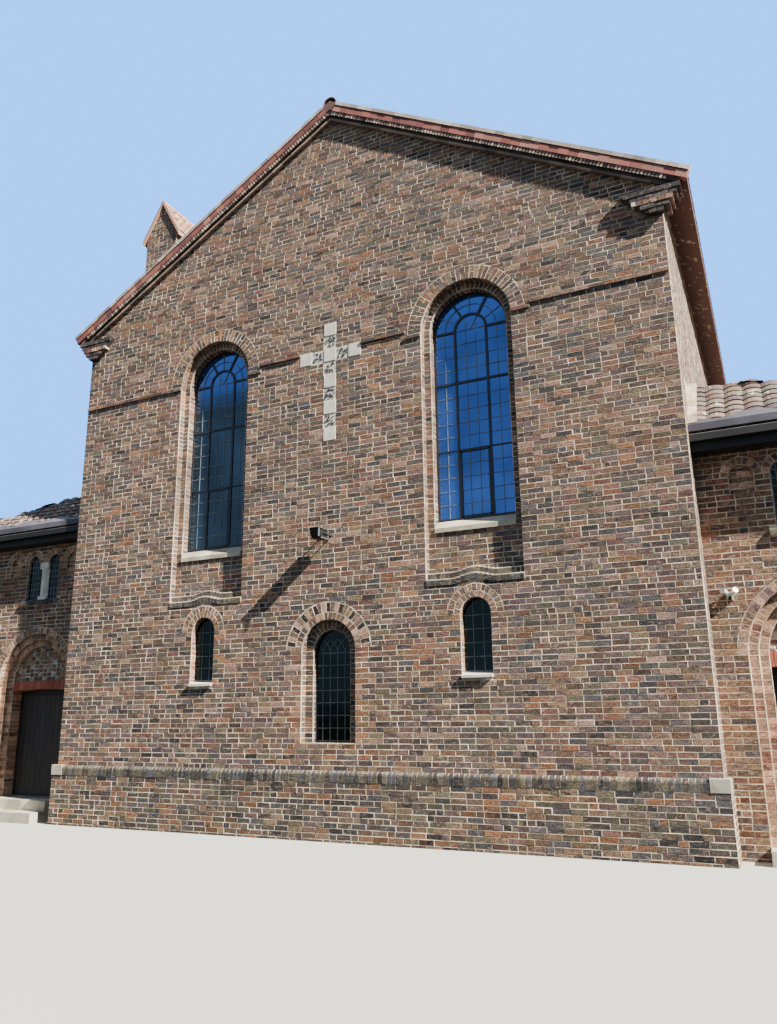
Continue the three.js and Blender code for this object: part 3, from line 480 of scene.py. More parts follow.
class Wall(Pile):
    """A wall face drawn in its own plane: x along, z up, -y out of the wall."""

    def __init__(self, seed, place=None):
        super().__init__()
        self.rng = random.Random(seed)
        self.place = place or Matrix()

    def brick(self, x0, x1, z0, z1, y=0.0, turn=None):
        stretch = Matrix.Translation(((x0 + x1) / 2, y, (z0 + z1) / 2))
        stretch = stretch @ Matrix.Diagonal((x1 - x0, 1, z1 - z0, 1)) @ UPRIGHT
        matrix = (turn or Matrix()) @ stretch
        made = bmesh.ops.create_grid(self.batch, x_segments=1, y_segments=1, size=0.5, matrix=matrix)
        paint(self.batch, made["verts"], self.rng)
        self.added()

    def course(self, x0, x1, z0, z1, y=0.0, odd=0):
        """One run of bricks between two stops, headers and stretchers mixed."""
        x = x0
        width = HEADER if odd else STRETCHER
        while x < x1 - 1e-6:
            end = x + width + self.rng.uniform(-0.006, 0.006)
            if end > x1 - 0.07:
                end = x1
            self.brick(x, end, z0, z1, y)
            x = end
            width = HEADER if self.rng.random() < 0.32 else STRETCHER

    def reveal(self, x, y0, y1, z0, z1, faces_right):
        """The brick ends seen on the side of an opening, from depth y0 to y1."""
        turn = turned_about_z(90 if faces_right else -90, x)
        low, high = (y0, y1) if faces_right else (-y1, -y0)
        for low_z, high_z in course_lines(z0, z1):
            self.brick(low, high, low_z, high_z, 0.0, turn=turn)

    def jambs(self, x, half, y0, y1, z0, z1):
        """The reveals on both sides of an opening."""
        for side in (-1, 1):
            self.reveal(x + side * half, y0, y1, z0, z1, side < 0)

    def step_face(self, edges, z0, z1, y):
        """The narrow face of a step in the side of an opening."""
        for low_z, high_z in course_lines(z0, z1):
            self.brick(*edges, low_z, high_z, y)

    def ring(self, x, z, inner, outer, y=0.0, count=None, keep=None):
        """Voussoirs round an arch, made by spinning one short radial edge. keep picks some places."""
        count = count or max(3, round((inner + outer) / 2 * math.pi / COURSE))
        axis = Vector((x, y, z))
        first = [self.bm.verts.new(axis + Vector((radius, 0, 0))) for radius in (inner, outer)]
        made = self.spin_half(first, axis, count)
        if keep:
            unwanted = [face for face in made if not keep(int(self.angle(face, axis) / math.pi * count))]
            bmesh.ops.delete(self.bm, geom=unwanted, context="FACES")

    def angle(self, face, axis):
        middle = face.calc_center_median() - axis
        return math.atan2(middle.z, middle.x) % (2 * math.pi)

    def soffit(self, x, z, radius, y0, y1):
        """The underside of an arch, from depth y0 to y1."""
        axis = Vector((x, 0, z))
        first = [self.bm.verts.new(axis + Vector((radius, y, 0))) for y in (y1, y0)]
        self.spin_half(first, axis, max(3, round(radius * math.pi / COURSE)))

    def spin_half(self, verts, axis, count):
        edge = self.bm.edges.new(verts)
        before = set(self.bm.faces)
        bmesh.ops.spin(
            self.bm, geom=[*verts, edge], cent=axis, axis=(0, -1, 0), dvec=(0, 0, 0),
            angle=math.pi, steps=count, use_duplicate=False,
        )
        made = [face for face in self.bm.faces if face not in before]
        for face in made:
            face.normal_update()
            middle = face.calc_center_median()
            inward = Vector((axis.x - middle.x, 0, axis.z - middle.z))
            wanted = inward if abs(face.normal.y) < 0.5 else Vector((0, -1, 0))
            if face.normal.dot(wanted) < 0:
                face.normal_flip()
            face[tone_layer(self.bm)] = random_tone(self.rng)
        return made

    def trim_round(self, x, z, radius, y=0.0):
        """Cuts bricks back to a circle above the springing, one straight cut to a brick."""
        self.pour()
        doomed = []
        for face in list(self.bm.faces):
            middle = face.calc_center_median()
            out = Vector((middle.x - x, 0, middle.z - z))
            if middle.z < z - 0.001 or out.length > radius + 0.25 or abs(middle.y - y) > 0.01:
                continue
            spans = [Vector((v.co.x - x, 0, v.co.z - z)).length for v in face.verts]
            if max(spans) <= radius + 0.012:
                doomed.append(face)
            elif min(spans) < radius:
                out.normalize()
                geometry = [face, *face.edges, *face.verts]
                bmesh.ops.bisect_plane(
                    self.bm, geom=geometry, dist=1e-5, plane_co=Vector((x, middle.y, z)) + out * radius,
                    plane_no=out, clear_inner=True, clear_outer=False,
                )
        bmesh.ops.delete(self.bm, geom=[f for f in doomed if f.is_valid], context="FACES")

    def trim_line(self, point, normal):
        """Cuts away everything beyond a line, as under a sloping roof."""
        self.pour()
        everything = [*self.bm.verts, *self.bm.edges, *self.bm.faces]
        bmesh.ops.bisect_plane(
            self.bm, geom=everything, dist=1e-5, plane_co=point, plane_no=normal,
            clear_inner=False, clear_outer=True,
        )

    def finish(self, name, materials, slot="brickwork", accent=None):
        """Draws the joints and roughens the faces. accent picks bricks for the second material."""
        self.pour()
        small = [face for face in self.bm.faces if face.calc_area() < 0.0009]
        bmesh.ops.delete(self.bm, geom=small, context="FACES")
        bricks = list(self.bm.faces)
        for face in bricks:
            if accent and accent(face.calc_center_median()):
                face.material_index = 1
        rims = bmesh.ops.inset_individual(
            self.bm, faces=bricks, thickness=HALF_JOINT, depth=PROUD, use_even_offset=True,
        )["faces"]
        mortar_index = len(materials) - 1
        for face in rims:
            face.material_index = mortar_index
        for face in bricks:
            lift = face.normal * self.rng.uniform(-0.0015, 0.0015)
            for vert in face.verts:
                jitter = Vector([self.rng.uniform(-WOBBLE, WOBBLE) for _ in range(3)])
                vert.co += lift + jitter
        bmesh.ops.transform(self.bm, matrix=self.place, verts=self.bm.verts)
        return finish_piece(name, self.bm, materials, slot)


# %% [markdown]
# ## The front wall
#
# The front is one big gable with two tall windows, two small ones, a middle one and a cross. In
# each course the bricks run between the openings' jambs. Where the course meets an arch, the run
# stops at the ring's widest point in that course and is then cut to the curve, as a bricklayer does.

# %% Sizes of the front
NAVE_HALF = 5.25
NAVE_LENGTH = 16.0
PITCH = math.tan(math.radians(30))
RIDGE_TOP = 12.15
ROOF_RISE = 0.173
VERGE_BANDS = 0.178
LEDGE_TOP = 0.94
LEDGE_FOOT = 0.79
PLINTH_OUT = 0.06
SETBACK = 0.45
TALL_X = 2.31
TALL_HALF = 0.715
TALL_INNER = 0.605
TALL_SPRING = 7.39
TALL_FOOT = 3.535
TALL_SILL = 4.24
TALL_RING = 0.215
ORDER_DEEP = 0.1125
FRAME_Y = 0.235
SMALL_HALF = 0.22
SMALL_FOOT = 2.25
SMALL_SPRING = 3.04
SMALL_RING = 0.19
SMALL_GLASS_Y = 0.11
CENTRE_HALF = 0.45
CENTRE_FOOT = 1.32
CENTRE_SPRING = 2.64
CENTRE_RING = 0.27
CROSS_TOP = 7.92
CELL = 0.225
FACET = math.cos(math.pi / 24)


def roof_top(x):
    return RIDGE_TOP - PITCH * abs(x)


def roof_under(x):
    return roof_top(x) - ROOF_RISE


# %% [markdown]
# ### Courses that stop at openings
#
# Cutting windows out of a finished wall would leave slivers of brick. A bricklayer works the other
# way round: each course is laid up to the opening and begins again behind it. Each opening here
# says which stretch of a course it takes, and the rest of the course is filled with bricks.

# %% Runs of a course between openings
class Opening:
    """An opening that the courses stop at, with or without a round head."""

    def __init__(self, x, half, foot, spring, ring=0.0, round_head=True):
        self.x = x
        self.half = half
        self.foot = foot
        self.spring = spring
        self.radius = half + ring
        self.round_head = round_head

    def blocks(self, z0, z1):
        """The stretch of this course that the opening takes, or None."""
        if z1 <= self.foot + 0.01:
            return None
        if z0 < self.spring - 0.01:
            return (self.x - self.half, self.x + self.half)
        rise = z0 - self.spring
        if not self.round_head or rise >= self.radius:
            return None
        upper = min(z1 - self.spring, self.radius)
        reach = math.sqrt(max(self.radius ** 2 - upper ** 2, 0.0))
        return (self.x - reach, self.x + reach)


def runs_between(x0, x1, z0, z1, openings):
    blocked = sorted(filter(None, (opening.blocks(z0, z1) for opening in openings)))
    at = x0
    for low, high in blocked:
        if low > at + 0.02:
            yield at, min(low, x1)
        at = max(at, high)
    if at < x1 - 0.02:
        yield at, x1


def lay_face(wall, x0, x1, z0, z1, openings=(), y=0.0, clip=None):
    """Courses from z0 to z1. clip narrows a run, as a sloping roof does."""
    for k, (low_z, high_z) in enumerate(course_lines(z0, z1)):
        for low, high in runs_between(x0, x1, low_z, high_z, openings):
            if clip:
                low, high = clip(low, high, low_z)
            if high - low > 0.03:
                wall.course(low, high, low_z, high_z, y, odd=k % 2)
    for opening in openings:
        if opening.round_head:
            wall.trim_round(opening.x, opening.spring, opening.radius, y)


# %% [markdown]
# ### Laying the gable
#
# The courses get shorter towards the ridge. They are laid a little too long and then cut along the
# roof's line with one `bisect_plane` a side, as the real bricks are cut under a verge.

# %% Bricks of the front wall
def cross_openings():
    arm = CROSS_TOP - 3 * CELL
    shaft = Opening(0, CELL / 2, CROSS_TOP - 9 * CELL, CROSS_TOP, round_head=False)
    return [shaft, Opening(0, 2.5 * CELL, arm, arm + CELL, round_head=False)]


def tall_openings():
    return [Opening(side * TALL_X, TALL_HALF, TALL_FOOT, TALL_SPRING, TALL_RING) for side in (-1, 1)]


def front_openings():
    openings = tall_openings() + cross_openings()
    for side in (-1, 1):
        openings.append(Opening(side * TALL_X, SMALL_HALF, SMALL_FOOT - COURSE, SMALL_SPRING, SMALL_RING))
    openings.append(Opening(0, CENTRE_HALF, CENTRE_FOOT, CENTRE_SPRING, CENTRE_RING))
    return openings


def under_gable(top):
    def clip(low, high, z):
        reach = (top - z) / PITCH
        return max(low, -reach), min(high, reach)
    return clip


def beside_middle_window(middle):
    """The bricks that bond into the middle window's jambs are of a paler clay."""
    near = CENTRE_HALF < abs(middle.x) < CENTRE_HALF + 0.16
    return near and CENTRE_FOOT < middle.z < CENTRE_SPRING


def gable_bricks(name, seed, openings, foot, place=None, accent=None):
    wall = Wall(seed, place)
    top = RIDGE_TOP - ROOF_RISE - VERGE_BANDS + 0.01
    lay_face(wall, -NAVE_HALF, NAVE_HALF, foot, top, openings, clip=under_gable(top))
    for side in (-1, 1):
        wall.trim_line((0, 0, top), (side * math.sin(math.radians(30)), 0, math.cos(math.radians(30))))
    wall.finish(name, [stock_brick, jamb_brick, buff_mortar], accent=accent)


jamb_brick = brick_finish("jamb_brick", ["orange", "tan", "pink", "orange", "red"], 1.12)
gable_bricks("front_wall_bricks", 11, front_openings(), LEDGE_TOP, accent=beside_middle_window)

# %% [markdown]
# ## Brickwork in the tall windows
#
# Each tall window steps back twice before the steel frame. The side of a step is seen as a column
# of brick ends, the arch above as a ring of bricks on edge. The ring on the wall's face has bricks
# one whole brick deep, in turn with pairs of half bricks.

# %% Tall window brickwork
def two_deep_ring(wall, x, z, inner, outer, count):
    """Voussoirs a brick deep, every second one split into two half bricks."""
    middle = (inner + outer) / 2
    wall.ring(x, z, inner, outer, count=count, keep=lambda i: i % 2 == 0)
    wall.ring(x, z, inner, middle, count=count, keep=lambda i: i % 2 == 1)
    wall.ring(x, z, middle, outer, count=count, keep=lambda i: i % 2 == 1)


def stepped_jambs(wall, x, halves, depths, foot, inner_foot, spring):
    """Both sides of an opening that steps in once, at halves[1] from its middle."""
    outer, inner = halves
    back, deep = depths
    for side in (-1, 1):
        wall.reveal(x + side * outer, 0, back, foot, spring, side < 0)
        wall.reveal(x + side * inner, back, deep, inner_foot, spring, side < 0)
        wall.step_face(span(side, inner, outer, x), inner_foot, spring, back)


def tall_window_bricks(wall, x):
    back = ORDER_DEEP
    lay_face(wall, x - TALL_HALF, x + TALL_HALF, TALL_FOOT + 0.1, TALL_SILL, y=back)
    two_deep_ring(wall, x, TALL_SPRING, TALL_HALF, TALL_HALF + TALL_RING, 35)
    wall.ring(x, TALL_SPRING, TALL_INNER, TALL_HALF, y=back)
    wall.soffit(x, TALL_SPRING, TALL_HALF * FACET, 0, back)
    wall.soffit(x, TALL_SPRING, TALL_INNER * FACET, back, FRAME_Y)
    stepped_jambs(wall, x, (TALL_HALF, TALL_INNER), (back, FRAME_Y), TALL_FOOT, TALL_SILL, TALL_SPRING)


def tall_window_dressing(name, seed, place=None):
    wall = Wall(seed, place)
    for side in (-1, 1):
        tall_window_bricks(wall, side * TALL_X)
    wall.finish(name, [stock_brick, buff_mortar])


tall_window_dressing("tall_window_bricks", 21)

# %% [markdown]
# ## Rounded rows under the tall windows
#
# Two rows of grey bricks with a rounded edge close the recess at its foot. Over the small window
# below they rise in a soft hump. The height of each brick follows one cosine. Each brick carries a
# pale cap along its rounded top, made of mortar: a painted highlight where the rounded edge catches
# the light. Thin pale blocks stand for the joints between them.

# %% Rounded rows
HUMP = 0.06
HUMP_HALF = 0.33
ROW_BRICKS = 22
ROW_JOINT = 0.011
JOINT_SUNK = 0.004
HIGHLIGHT_CAP = 0.016


def hump(x):
    if abs(x) >= HUMP_HALF:
        return 0.0
    return HUMP * 0.5 * (1 + math.cos(math.pi * x / HUMP_HALF))


def rounded_edge(bm, verts, radius, segments=3):
    """Rounds the upper front edge of a block."""
    edges = {edge for vert in verts for edge in vert.link_edges}
    top = max(vert.co.z for vert in verts) - 1e-5
    front = min(vert.co.y for vert in verts) + 1e-5
    upper = [e for e in edges if all(v.co.z > top - 0.012 and v.co.y < front for v in e.verts)]
    bmesh.ops.bevel(
        bm, geom=upper, offset=radius, offset_type="OFFSET", segments=segments, profile=0.5,
        affect="EDGES", material=-1,
    )


def mortar_block(bm, low, high, radius=0.0):
    """A block of the piece's second material, mortar."""
    verts = add_block(bm, low, high)
    for face in faces_of(verts):
        face.material_index = 1
    if radius:
        rounded_edge(bm, verts, radius)


def rounded_row(bm, rng, x, foot, top, y0, y1):
    pitch = 2 * TALL_HALF / ROW_BRICKS
    half_joint = ROW_JOINT / 2
    for i in range(ROW_BRICKS):
        middle = -TALL_HALF + (i + 0.5) * pitch
        lift = hump(middle) + rng.uniform(0, 0.003)
        edge = x + middle + pitch / 2
        brick_top = top + lift - HIGHLIGHT_CAP
        low = (edge - pitch + half_joint, y0, foot + lift)
        add_block(bm, low, (edge - half_joint, y1, brick_top), rng)
        # The pale cap over the rounded top is a painted highlight of the lit edge.
        mortar_block(bm, (edge - pitch, y0 + 0.001, brick_top), (edge, y1, top + lift), 0.009)
        joint = (edge - half_joint, y0 + JOINT_SUNK, foot + lift)
        mortar_block(bm, joint, (edge + half_joint, y1, brick_top))


def rounded_rows(name, seed, place=None):
    bm = bmesh.new()
    rng = random.Random(seed)
    for side in (-1, 1):
        rounded_row(bm, rng, side * TALL_X, TALL_FOOT - 0.082, TALL_FOOT + 0.008, -0.014, 0.05)
        rounded_row(bm, rng, side * TALL_X, TALL_FOOT + 0.006, TALL_FOOT + 0.108, 0.046, 0.105)
    if place:
        bmesh.ops.transform(bm, matrix=place, verts=bm.verts)
    finish_piece(name, bm, [ledge_brick, buff_mortar], "brickwork")


rounded_rows("window_foot_rows", 23)

# %% [markdown]
# ## Small windows and the middle window
#
# The small windows have two rings of half bricks. The middle window has an inner ring of pale
# bricks, then an outer one where every third place is a burnt, nearly black brick.

# %% Small and middle window brickwork
def small_window_bricks():
    wall = Wall(31)
    half_ring = SMALL_RING / 2
    for side in (-1, 1):
        x = side * TALL_X
        wall.ring(x, SMALL_SPRING, SMALL_HALF, SMALL_HALF + half_ring, count=12)
        wall.ring(x, SMALL_SPRING, SMALL_HALF + half_ring, SMALL_HALF + SMALL_RING, count=17)
        wall.soffit(x, SMALL_SPRING, SMALL_HALF * FACET, 0, SMALL_GLASS_Y)
        wall.jambs(x, SMALL_HALF, 0, SMALL_GLASS_Y, SMALL_FOOT, SMALL_SPRING)
    wall.finish("small_window_bricks", [warm_brick, buff_mortar])


CENTRE_INNER_RING = 0.11
CENTRE_PLACES = 27
CENTRE_STEP_Y = 0.1125
CENTRE_GLASS_Y = 0.19
SECOND_HALF = 0.31


def is_burnt(i):
    return i % 3 == 1


def centre_window_bricks():
    wall = Wall(32)
    middle = CENTRE_HALF + CENTRE_INNER_RING
    outer = CENTRE_HALF + CENTRE_RING
    wall.ring(0, CENTRE_SPRING, CENTRE_HALF, middle, count=22)
    wall.ring(0, CENTRE_SPRING, middle, outer, count=CENTRE_PLACES, keep=lambda i: not is_burnt(i))
    wall.finish("centre_window_ring", [ring_brick, buff_mortar])
    dark = Wall(33)
    dark.ring(0, CENTRE_SPRING, middle + 0.002, outer - 0.012, count=CENTRE_PLACES, keep=is_burnt)
    dark.finish("centre_window_burnt_bricks", [burnt_brick, buff_mortar])


def centre_second_order():
    """The inner step of the middle window: a ring set half a brick back, and its jambs, in darker plinth
    brick as painted shade.
    """
    jambs = Wall(34)
    jambs.soffit(0, CENTRE_SPRING, CENTRE_HALF * FACET, 0, CENTRE_STEP_Y)
    jambs.ring(0, CENTRE_SPRING, SECOND_HALF, CENTRE_HALF, y=CENTRE_STEP_Y)
    jambs.soffit(0, CENTRE_SPRING, SECOND_HALF * FACET, CENTRE_STEP_Y, CENTRE_GLASS_Y)
    depths = (CENTRE_STEP_Y, CENTRE_GLASS_Y)
    stepped_jambs(jambs, 0, (CENTRE_HALF, SECOND_HALF), depths, CENTRE_FOOT, CENTRE_FOOT, CENTRE_SPRING)
    # The darker plinth brick on the recessed step is painted shade.
    jambs.finish("centre_window_jambs", [plinth_brick, buff_mortar])


small_window_bricks()
centre_window_bricks()
centre_second_order()

# %% [markdown]
# ## Plinth, ledge and string course
#
# Older-looking, darker bricks form the plinth. A row of rounded bricks on edge caps it, between
# two pale corner stones. Higher up a thin string course steps with the work of different years.

# %% Plinth and its ledge
CORNER_STONE = 0.225
CORNER_REACH = 0.15
EDGE_BRICK = 0.075


def plinth_bricks():
    front = Wall(41, Matrix.Translation((0, -PLINTH_OUT, 0)))
    reach = NAVE_HALF + PLINTH_OUT
    lay_face(front, -reach, reach, 0, LEDGE_FOOT)
    front.finish("plinth_bricks", [plinth_brick, buff_mortar])
    for label, side in SIDES:
        end = Wall(42 + side, turned_about_z(side * 90, side * reach))
        lay_face(end, *span(side, -PLINTH_OUT, SETBACK), 0, LEDGE_FOOT)
        end.finish(f"plinth_end_{label}", [plinth_brick, buff_mortar])


def ledge_bricks():
    bm = bmesh.new()
    rng = random.Random(44)
    reach = NAVE_HALF + PLINTH_OUT - CORNER_STONE
    count = round(2 * reach / EDGE_BRICK)
    pitch = 2 * reach / count
    for i in range(count):
        x = -reach + i * pitch
        front = -PLINTH_OUT - 0.008 + rng.uniform(-0.002, 0.002)
        low = (x + ROW_JOINT / 2, front, LEDGE_FOOT + 0.006)
        verts = add_block(bm, low, (x + pitch - ROW_JOINT / 2, 0, LEDGE_TOP + 0.006), rng)
        rounded_edge(bm, verts, 0.056, segments=4)
        joint = (x - ROW_JOINT / 2, -PLINTH_OUT - 0.004, LEDGE_FOOT + 0.008)
        mortar_block(bm, joint, (x + ROW_JOINT / 2, 0, LEDGE_TOP + 0.003), 0.05)
    finish_piece("ledge_bricks", bm, [ledge_brick, buff_mortar], "brickwork")


def ledge_ends():
    bm = bmesh.new()
    rng = random.Random(45)
    out = NAVE_HALF + PLINTH_OUT + 0.007
    for side in (-1, 1):
        x0, x1 = span(side, NAVE_HALF, out)
        for i in range(4):
            y = CORNER_REACH + 0.005 + i * EDGE_BRICK
            high = (x1, min(y + EDGE_BRICK - 0.008, SETBACK), LEDGE_TOP + 0.006)
            add_block(bm, (x0, y, LEDGE_FOOT + 0.006), high, rng)
    finish_piece("ledge_end_bricks", bm, [ledge_brick], "brickwork")


def corner_stones():
    bm = bmesh.new()
    out = NAVE_HALF + PLINTH_OUT + 0.008
    foot, top = LEDGE_FOOT - 0.002, LEDGE_TOP + 0.011
    for side in (-1, 1):
        x0, x1 = span(side, out - CORNER_STONE - 0.01, out)
        add_block(bm, (x0, -PLINTH_OUT - 0.012, foot), (x1, 0.002, top))
        x0, x1 = span(side, NAVE_HALF, out)
        add_block(bm, (x0, 0.0, foot), (x1, CORNER_REACH, top))
    soften(bm, 0.006, 2)
    finish_piece("ledge_corner_stones", bm, [pale_stone], "pale_stone")


plinth_bricks()
ledge_bricks()
ledge_ends()
corner_stones()

# %% [markdown]
# ### String course
#
# A course of thin bricks stands 20 mm out and throws a line of shadow. It isn't level: it steps up
# by whole or half courses. Each run below says where it begins and ends, and by how many courses
# it is lifted.

# %% String course
STRING_FOOT = 7.32
STRING_HIGH = 0.04
STRING_OUT = 0.02
STEP_NEAR = 1.33
STEP_FAR = 3.31
CROSS_ARM = 2.5 * CELL
STRING_RUNS = [
    (-NAVE_HALF, -TALL_X - TALL_HALF, 0), (-TALL_X + TALL_HALF, -STEP_NEAR, 0),
    (-STEP_NEAR, -CROSS_ARM, 1.5), (CROSS_ARM, STEP_NEAR, 1.5), (STEP_NEAR, TALL_X - TALL_HALF, 0),
    (TALL_X + TALL_HALF, STEP_FAR, 1), (STEP_FAR, NAVE_HALF, 2),
]


def string_course():
    bm = bmesh.new()
    rng = random.Random(46)
    for x0, x1, lift in STRING_RUNS:
        foot = STRING_FOOT + lift * COURSE
        count = max(1, round((x1 - x0) / STRETCHER))
        pitch = (x1 - x0) / count
        for i in range(count):
            x = x0 + i * pitch
            low = (x + 0.004, -STRING_OUT - 0.006, foot - 0.004 + rng.uniform(-0.002, 0.002))
            add_block(bm, low, (x + pitch - 0.004, 0, foot + STRING_HIGH + 0.004), rng)
    finish_piece("string_course", bm, [stock_brick], "brickwork")


string_course()

# %% [markdown]
# ## The cross
#
# The cross lies flush in the wall: squares of white stone in turn with squares of knapped flint
# set in white lime. The flints are small flattened pebbles, turned and sized at random.

# %% Cross
FLINTS_IN_CELL = 26


def cross_squares():
    """The middle of each square, and whether it is stone."""
    for row in range(9):
        yield 0, CROSS_TOP - (row + 0.5) * CELL, row % 2 == 0
    for step in (-2, -1, 1, 2):
        yield step * CELL, CROSS_TOP - 2.5 * CELL, abs(step) == 2


def add_flint(bm, rng, x, y, z, size):
    turn = Matrix.Rotation(rng.uniform(0, 3.1), 4, "Y")
    spread = Matrix.Diagonal((size * rng.uniform(0.8, 1.6), 0.012, size, 1))
    matrix = Matrix.Translation((x, y, z)) @ turn @ spread
    made = bmesh.ops.create_icosphere(bm, subdivisions=1, radius=1, matrix=matrix)
    paint(bm, made["verts"], rng)


def cross():
    stone = bmesh.new()
    flint = bmesh.new()
    rng = random.Random(51)
    tone_layer(flint)
    for x, z, is_stone in cross_squares():
        half = CELL / 2 - 0.004
        if is_stone:
            add_block(stone, (x - half, -0.009, z - half), (x + half, 0.0, z + half))
            continue
        for _ in range(FLINTS_IN_CELL):
            reach = half - 0.022
            at_x = x + rng.uniform(-reach, reach)
            at_z = z + rng.uniform(-reach, reach)
            add_flint(flint, rng, at_x, 0.0, at_z, rng.uniform(0.009, 0.019))
    soften(stone, 0.003)
    finish_piece("cross_stones", stone, [white_stone], "pale_stone")
    finish_piece("cross_flints", flint, [flint_stone], "flint")


cross()

# %% [markdown]
# ## The raking verge
#
# Under the roof's front edge run a pale tile edge, a band of red tiles, a row of small brick ends
# and, past a gap whose dark mortar behind is painted shade, one thin pale line. They are laid in
# the slope's own frame: the first axis runs down the slope, the third stands square to it.

# %% Verge
EAVE_X = 5.60
SLOPE_LENGTH = EAVE_X / math.cos(math.radians(30))
BAND_START = 0.08


def slope_frame(side):
    """Down the slope is +X, square to it is +Z. The origin is on the roof's underside at the ridge."""
    mirror = Matrix.Diagonal((side, 1, 1, 1))
    turn = Matrix.Rotation(math.radians(30), 4, "Y")
    return Matrix.Translation((0, 0, roof_under(0))) @ mirror @ turn


def verge_band(bm, rng, pitch, n0, n1, front, gap, last):
    """One row of tiles or bricks between the levels n0 and n1, from the ridge to last."""
    count = round((last - BAND_START) / pitch)
    each = (last - BAND_START) / count
    for side in (-1, 1):
        place = slope_frame(side)
        for i in range(count):
            start = BAND_START + i * each
            low = (start, -front - rng.uniform(0, 0.004), n0)
            add_block(bm, low, (start + each - gap, -0.01, n1), rng, place)


def gable_edge():
    rng = random.Random(61)
    whole = SLOPE_LENGTH - 0.01
    bands = [
        ("tile_edge", verge_tile, 0.165, 0.098, 0.158, 0.106, 0.004, whole, "roof_tile"),
        ("red_band", verge_red, 0.165, -0.018, 0.078, 0.097, 0.003, whole, "red_tile"),
        ("dentils", dentil_brick, 0.056, -0.086, -0.024, 0.088, 0.020, 6.22, "brickwork"),
        ("fillet", fillet_tile, 0.225, -0.168, -0.134, 0.060, 0.004, 6.02, "brickwork"),
    ]
    for label, finish, pitch, n0, n1, front, gap, last, slot in bands:
        bm = bmesh.new()
        verge_band(bm, rng, pitch, n0, n1, front, gap, last)
        bmesh.ops.recalc_face_normals(bm, faces=bm.faces)
        finish_piece(f"front_verge_{label}", bm, [finish], slot)


verge_tile = toned("verge_tile", [(186, 172, 158), (160, 146, 136), (200, 190, 178)], 0.85)
verge_red = toned("verge_red", [(152, 90, 82), (132, 78, 74), (170, 116, 104), (122, 72, 70)], 0.85)
fillet_tile = toned("fillet_tile", [(140, 120, 106), (112, 98, 90), (156, 134, 118)], 0.85)
dentil_clay = [(176, 156, 140), (142, 122, 110), (196, 178, 162), (112, 96, 90)]
dentil_brick = toned("dentil_brick", dentil_clay, 0.85)
gable_edge()

# %% [markdown]
# ### Kneelers
#
# A kneeler carries the foot of the verge. Its courses step out one over the other and turn the
# corner under the eaves. Each course is given by its foot, its two ends along the wall and how far
# it stands out, because hand-laid corbels follow no simple rule. One course is of pinker brick.

# %% Kneelers
KNEELER_COURSES = [
    (8.345, 5.07, 5.276, 0.083), (8.42, 4.96, 5.358, 0.088), (8.495, 4.89, 5.408, 0.094),
    (8.57, 4.83, 5.462, 0.090), (8.645, 4.74, 5.516, 0.098),
]
PINK_COURSE = 2
KNEELER_DEEP = 0.228
KNEELER_OUT = 0.098
KNEELER_STONE = (4.845, 4.905, 8.50, 8.565)
kneeler_brick = brick_finish("kneeler_brick", ["slate", "burnt", "purple", "slate"], 0.82)


def kneelers():
    """Corbelled courses, each reaching further out, that turn the corner under the eaves."""
    dark, pink = bmesh.new(), bmesh.new()
    rng = random.Random(64)
    for index, (foot, near, far, front) in enumerate(KNEELER_COURSES):
        bm = pink if index == PINK_COURSE else dark
        top = foot + COURSE - 0.007
        for side in (-1, 1):
            count = max(1, round((far - near) / HEADER))
            pitch = (far - near) / count
            for i in range(count):
                x0, x1 = span(side, near + i * pitch, near + (i + 1) * pitch - 0.007)
                add_block(bm, (x0, -front - rng.uniform(0, 0.004), foot), (x1, 0, top), rng)
            x0, x1 = span(side, NAVE_HALF + 0.002, far - 0.004)
            add_block(bm, (x0, 0.006, foot), (x1, KNEELER_DEEP / 2 - 0.004, top), rng)
            add_block(bm, (x0, KNEELER_DEEP / 2 + 0.004, foot), (x1, KNEELER_DEEP, top), rng)
    finish_piece("kneeler_bricks", dark, [kneeler_brick], "brickwork")
    finish_piece("kneeler_band", pink, [ring_brick], "brickwork")


def kneeler_stones():
    """A small pale stone closes the middle course at its inner end."""
    bm = bmesh.new()
    near, far, foot, top = KNEELER_STONE
    for side in (-1, 1):
        x0, x1 = span(side, near, far)
        add_block(bm, (x0, -KNEELER_OUT, foot), (x1, 0, top))
    soften(bm, 0.006, 2)
    finish_piece("kneeler_stones", bm, [pale_stone], "pale_stone")


kneelers()
kneeler_stones()

# %% [markdown]
# ## Leaded windows
#
# A leaded window is many small panes held by lead strips. No two panes lie in quite the same
# plane, so each catches another piece of sky. Here each pane is its own tilted grid face in front
# of the steel frame's sheet, and the leads are thin blocks in front of the joints.

# %% Panes and leads
LEAD_WIDE = 0.010
LEAD_FRONT = 0.006
BAR_FRONT = 0.016
ARC_STEPS = 12
TILT = math.radians(0.9)


